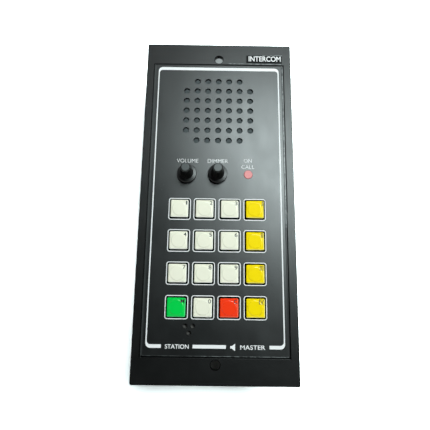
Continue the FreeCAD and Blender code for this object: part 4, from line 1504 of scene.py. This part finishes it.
@dataclass
class Control:
    """A knob with its cap, and the potentiometer and shaft below it.

    Attributes:
        name: The control's name in the frame.
    """

    name: str

    def build(self, shop: Workshop) -> None:
        """Dresses one control.

        Args:
            shop: The workshop.
        """
        x, y, _ = shop.middle(f"{self.name}_knob")
        shop.dress(KnobPlastic(f"{self.name}_knob_black", (0.0025, 0.003, 0.003), roughness=0.34, ior=1.45,
                               grain_size=0.3, grain_depth=0.006, middle=(x, y)), f"{self.name}_knob")
        shop.dress(Finish("knob_cap_grey", (0.028, 0.034, 0.034), roughness=0.40, grain_size=0.3,
                          grain_depth=0.01), f"{self.name}_knob_cap")
        shop.dress(ZINC, f"{self.name}_potentiometer")
        shop.dress(ALUMINIUM, f"{self.name}_shaft")


@dataclass
class CallLamp:
    """The red lens in the film and the diode behind it.

    Attributes:
        lens: The lens's finish.
        diode: The diode's.
    """

    lens: Finish = Finish("lamp_red", (0.60, 0.09, 0.09), roughness=0.36, ior=1.55, grain_size=0.5,
                          grain_depth=0.01, mottle_size=3.0, mottle_share=0.08)
    diode: Finish = Finish("diode_red", (0.55, 0.03, 0.025), roughness=0.15, grain_depth=0.002, coat=0.5)

    def build(self, shop: Workshop) -> None:
        """Dresses the lens and the diode."""
        shop.dress(self.lens, "call_lamp_lens")
        shop.dress(self.diode, "call_lamp_diode")


class KeyColour(Enum):
    """The colours of the keys: the plastic's, that of the painted highlight on its bevels, and how dark the
    painted shade round its dome's edge is.
    """

    CREAM = ((0.92, 0.865, 0.71), (1.0, 0.97, 0.88), 0.05)
    YELLOW = ((1.0, 0.72, 0.001), (1.0, 0.86, 0.22), 0.12)
    GREEN = ((0.001, 0.617, 0.072), (0.10, 0.75, 0.25), 0.06)
    RED = ((1.0, 0.045, 0.008), (1.0, 0.20, 0.12), 0.12)


@dataclass(frozen=True)
class Key:
    """One key of the keypad.

    Attributes:
        node: Its node in the frame.
        legend: What is printed on it.
        colour: Its colour.
        width: The width of its legend.
    """

    node: str
    legend: str
    colour: KeyColour = KeyColour.CREAM
    width: float = 2.2


@dataclass
class Keypad:
    """The sixteen keys with their legends, and the switches below them.

    Attributes:
        legend_right: The distance from a key's middle to its legend's right side.
        legend_top: The distance to its top.
        legend_height: The legend's height.
        legend_weight: How much thicker its strokes are than the font's own.
        legend_rise: How thick the ink is.
        legend_sink: How far the ink reaches into the key.
        longest_edge: The longest edge that a legend keeps when it is laid over the dome.
        serif: The thickness of the bars across a Roman numeral.
        serif_reach: How far they stand out beside it.
        dome_radius: The radius of the dome on a key.
        dome_flat: The radius of its flat middle.
        dome_rise: Its height.
        columns: The number of keys in a row.
        keys: The keys, row by row.
    """

    legend_right: float = 6.2
    legend_top: float = 6.2
    legend_height: float = 3.1
    legend_weight: float = 0.004
    legend_rise: float = 0.035
    legend_sink: float = 0.02
    longest_edge: float = 0.45
    serif: float = 0.3
    serif_reach: float = 0.25
    dome_radius: float = 5.85
    dome_flat: float = 5.0
    dome_rise: float = 0.3
    columns: int = 4
    keys: tuple[Key, ...] = (
        Key("key_1", "1", width=1.15), Key("key_2", "2"), Key("key_3", "3"),
        Key("key_i", "I", KeyColour.YELLOW, 0.5),
        Key("key_4", "4"), Key("key_5", "5"), Key("key_6", "6"),
        Key("key_ii", "II", KeyColour.YELLOW, 1.6),
        Key("key_7", "7"), Key("key_8", "8"), Key("key_9", "9"),
        Key("key_iii", "III", KeyColour.YELLOW, 2.7),
        Key("key_m", "M", KeyColour.GREEN, 2.9), Key("key_0", "0"),
        Key("key_c", "C", KeyColour.RED, 2.5), Key("key_iv", "IV", KeyColour.YELLOW, 3.6),
    )

    def build(self, shop: Workshop) -> None:
        """Dresses and prints the keys, and dresses the switches below them.

        Args:
            shop: The workshop.
        """
        first, last = shop.middle(self.keys[0].node), shop.middle(self.keys[-1].node)
        rows = len(self.keys) // self.columns
        pitch = ((last[0] - first[0]) / (self.columns - 1), (first[1] - last[1]) / (rows - 1))
        for key in self.keys:
            # The second colour is the painted highlight on the bevels, and the third value is how dark the
            # painted shade round the dome's edge is.
            base, edge, rim_shade = key.colour.value
            slot = f"key_{key.colour.name.lower()}"
            shop.dress(KeyPlastic(slot, base, roughness=0.45, ior=1.12, coat_roughness=0.12, grain_size=0.6,
                                  grain_depth=0.002, mottle_size=5.0, mottle_share=0.03, middle=first[:2],
                                  pitch=pitch, bevel_highlight=edge, dome=self.dome_radius, rim_shade=rim_shade), key.node)
            shop.add(self.legend_mesh(shop, key), BLACK_INK, f"{key.node}_button", slot)
        shop.dress(Finish("switch_black", (0.02, 0.02, 0.022), roughness=0.55, grain_depth=0.01),
                   "key_switches")

    def legend_mesh(self, shop: Workshop, key: Key) -> bpy.types.Mesh:
        """One key's legend, laid over the cap and the dome's rim.

        Args:
            shop: The workshop.
            key: The key.

        Returns:
            The legend's mesh, in place.
        """
        x, y, _ = shop.middle(key.node)
        base = shop.top(key.node) - self.dome_rise
        right, top = x + self.legend_right, y + self.legend_top
        left, bottom = right - key.width, top - self.legend_height
        letters = Lettering(key.legend, left, right, bottom, top, self.legend_weight)
        mesh = letters.mesh(f"legend_{key.node}", -self.legend_sink, self.legend_rise)
        build = bmesh.new()
        build.from_mesh(mesh)
        if set(key.legend) <= set("IV"):
            for level in (bottom, top):
                build.from_mesh(self.serif_mesh(left, right, level))
        for _ in range(3):
            long_edges = [edge for edge in build.edges if edge.calc_length() > self.longest_edge * MM]
            bmesh.ops.subdivide_edges(build, edges=long_edges, cuts=1)
        bmesh.ops.triangulate(build, faces=build.faces)
        for vertex in build.verts:
            radius = math.hypot(vertex.co.x / MM - x, vertex.co.y / MM - y)
            vertex.co.z += (base + self.dome_height(radius)) * MM
        laid = bpy.data.meshes.new(mesh.name)
        build.to_mesh(laid)
        build.free()
        bpy.data.meshes.remove(mesh)
        return laid

    def serif_mesh(self, left: float, right: float, level: float) -> bpy.types.Mesh:
        """A bar across the head or the foot of a Roman numeral.

        Args:
            left: The numeral's lowest X.
            right: Its highest X.
            level: The Y of its head or its foot.

        Returns:
            The mesh.
        """
        left, right = left - self.serif_reach, right + self.serif_reach
        bottom, top = level - self.serif / 2, level + self.serif / 2
        corners = [(left, bottom), (right, bottom), (right, top), (left, top)]
        return plate_mesh("bar", corners, -self.legend_sink, self.legend_rise)

    def dome_height(self, radius: float) -> float:
        """The height of a key's dome above its cap.

        Args:
            radius: The distance from the key's middle.

        Returns:
            The height.
        """
        if radius >= self.dome_radius:
            return 0.0
        if radius <= self.dome_flat:
            return self.dome_rise
        width = self.dome_radius - self.dome_flat
        curve = (width ** 2 + self.dome_rise ** 2) / (2 * self.dome_rise)
        return self.dome_rise - curve + math.sqrt(curve ** 2 - (radius - self.dome_flat) ** 2)


@dataclass
class Microphone:
    """The microphone behind its three holes.

    Attributes:
        felt: The finish of the capsule's front.
    """

    felt: Finish = Finish("capsule_felt", (0.085, 0.08, 0.075), roughness=0.95, grain_size=0.4,
                          grain_depth=0.1, mottle_size=1.5, mottle_share=0.3)

    def build(self, shop: Workshop) -> None:
        """Dresses the capsule and its boot."""
        shop.dress(self.felt, "microphone_capsule")
        shop.dress(RUBBER, "microphone_boot")


@dataclass
class RearCase:
    """The plated case, its pillars and screws, its terminals and its earth stud.

    Attributes:
        entry: The middle of the cable entry's hole, halfway through the wall.
        grommet: The section of its rubber ring, as pairs of radius and place along the hole.
    """

    entry: Triple = (0.0, 117.25, 20.88)
    grommet: tuple[Point, ...] = ((4.4, -1.2), (4.9, -1.9), (6.6, -1.9), (7.1, -1.4), (7.1, -0.76),
                                  (5.95, -0.76), (5.95, 0.76), (7.4, 0.76), (7.4, 1.5), (6.8, 2.1),
                                  (4.9, 2.1), (4.4, 1.4))

    def build(self, shop: Workshop) -> None:
        """Dresses the case and what is fixed to it, and adds the cable entry's grommet.

        Args:
            shop: The workshop.
        """
        grommet = turned_mesh("entry_grommet", self.grommet, self.entry, (0.0, 1.0, 0.0))
        shop.add(grommet, RUBBER, "station", "black_rubber")
        shop.dress(ZINC, "rear_case")
        shop.dress(ALUMINIUM, "case_pillars")
        shop.dress(ZINC_FASTENER, "case_screws", "terminal_screws")
        shop.dress(Finish("terminal_green", (0.015, 0.20, 0.075), roughness=0.42, grain_depth=0.006),
                   "terminal_block")
        shop.dress(Finish("earth_brass", (0.72, 0.56, 0.25), roughness=0.3, metallic=1.0, grain_size=0.3,
                          grain_depth=0.006), "earth_stud")


@dataclass
class Works:
    """The boards and what stands on them.

    Attributes:
        finishes: What each finish dresses.
    """

    finishes: tuple[tuple[Finish, tuple[str, ...]], ...] = (
        (Finish("board_green", (0.012, 0.12, 0.045), roughness=0.35, grain_size=0.8, grain_depth=0.01,
                coat=0.3), ("key_board", "main_board")),
        (ZINC_FASTENER, ("panel_studs", "board_nuts", "main_board_fixings", "potentiometer_nuts")),
        (ALUMINIUM, ("board_spacers",)),
        (LayeredIron("core_iron", (0.10, 0.10, 0.11), roughness=0.5, metallic=0.7), ("transformer_core",)),
        (Finish("winding_tape", (0.52, 0.38, 0.04), roughness=0.4, grain_size=1.2, grain_depth=0.03),
         ("transformer_winding",)),
        (Finish("capacitor_sleeve", (0.015, 0.04, 0.14), roughness=0.3, grain_depth=0.004, coat=0.3),
         ("electrolytic_capacitors",)),
        (Finish("black_anodised", (0.02, 0.02, 0.022), roughness=0.4, metallic=0.6), ("heat_sink",)),
        (Finish("moulded_black", (0.016, 0.016, 0.017), roughness=0.55, grain_depth=0.01),
         ("integrated_circuits", "amplifier_chip", "ribbon_headers")),
        (FlatCable("flat_cable_grey", (0.36, 0.37, 0.38), roughness=0.5), ("ribbon_cable",)),
    )

    def build(self, shop: Workshop) -> None:
        """Dresses the boards, their fixings and their components."""
        for finish, names in self.finishes:
            shop.dress(finish, *names)


def main() -> None:
    """Loads the frame, sets the studio, and builds the station's sub-assemblies in order."""
    logging.basicConfig(level=logging.INFO, format="%(message)s")
    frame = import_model()
    shop = Workshop(frame)
    Studio().build()
    keypad = Keypad()
    FrontPlate().build(shop)
    PrintedOverlay().build(shop, [key.node for key in keypad.keys])
    Speaker().build(shop)
    for name in ("volume", "dimmer"):
        Control(name).build(shop)
    CallLamp().build(shop)
    keypad.build(shop)
    Microphone().build(shop)
    RearCase().build(shop)
    Works().build(shop)


if __name__ == "__main__":
    main()
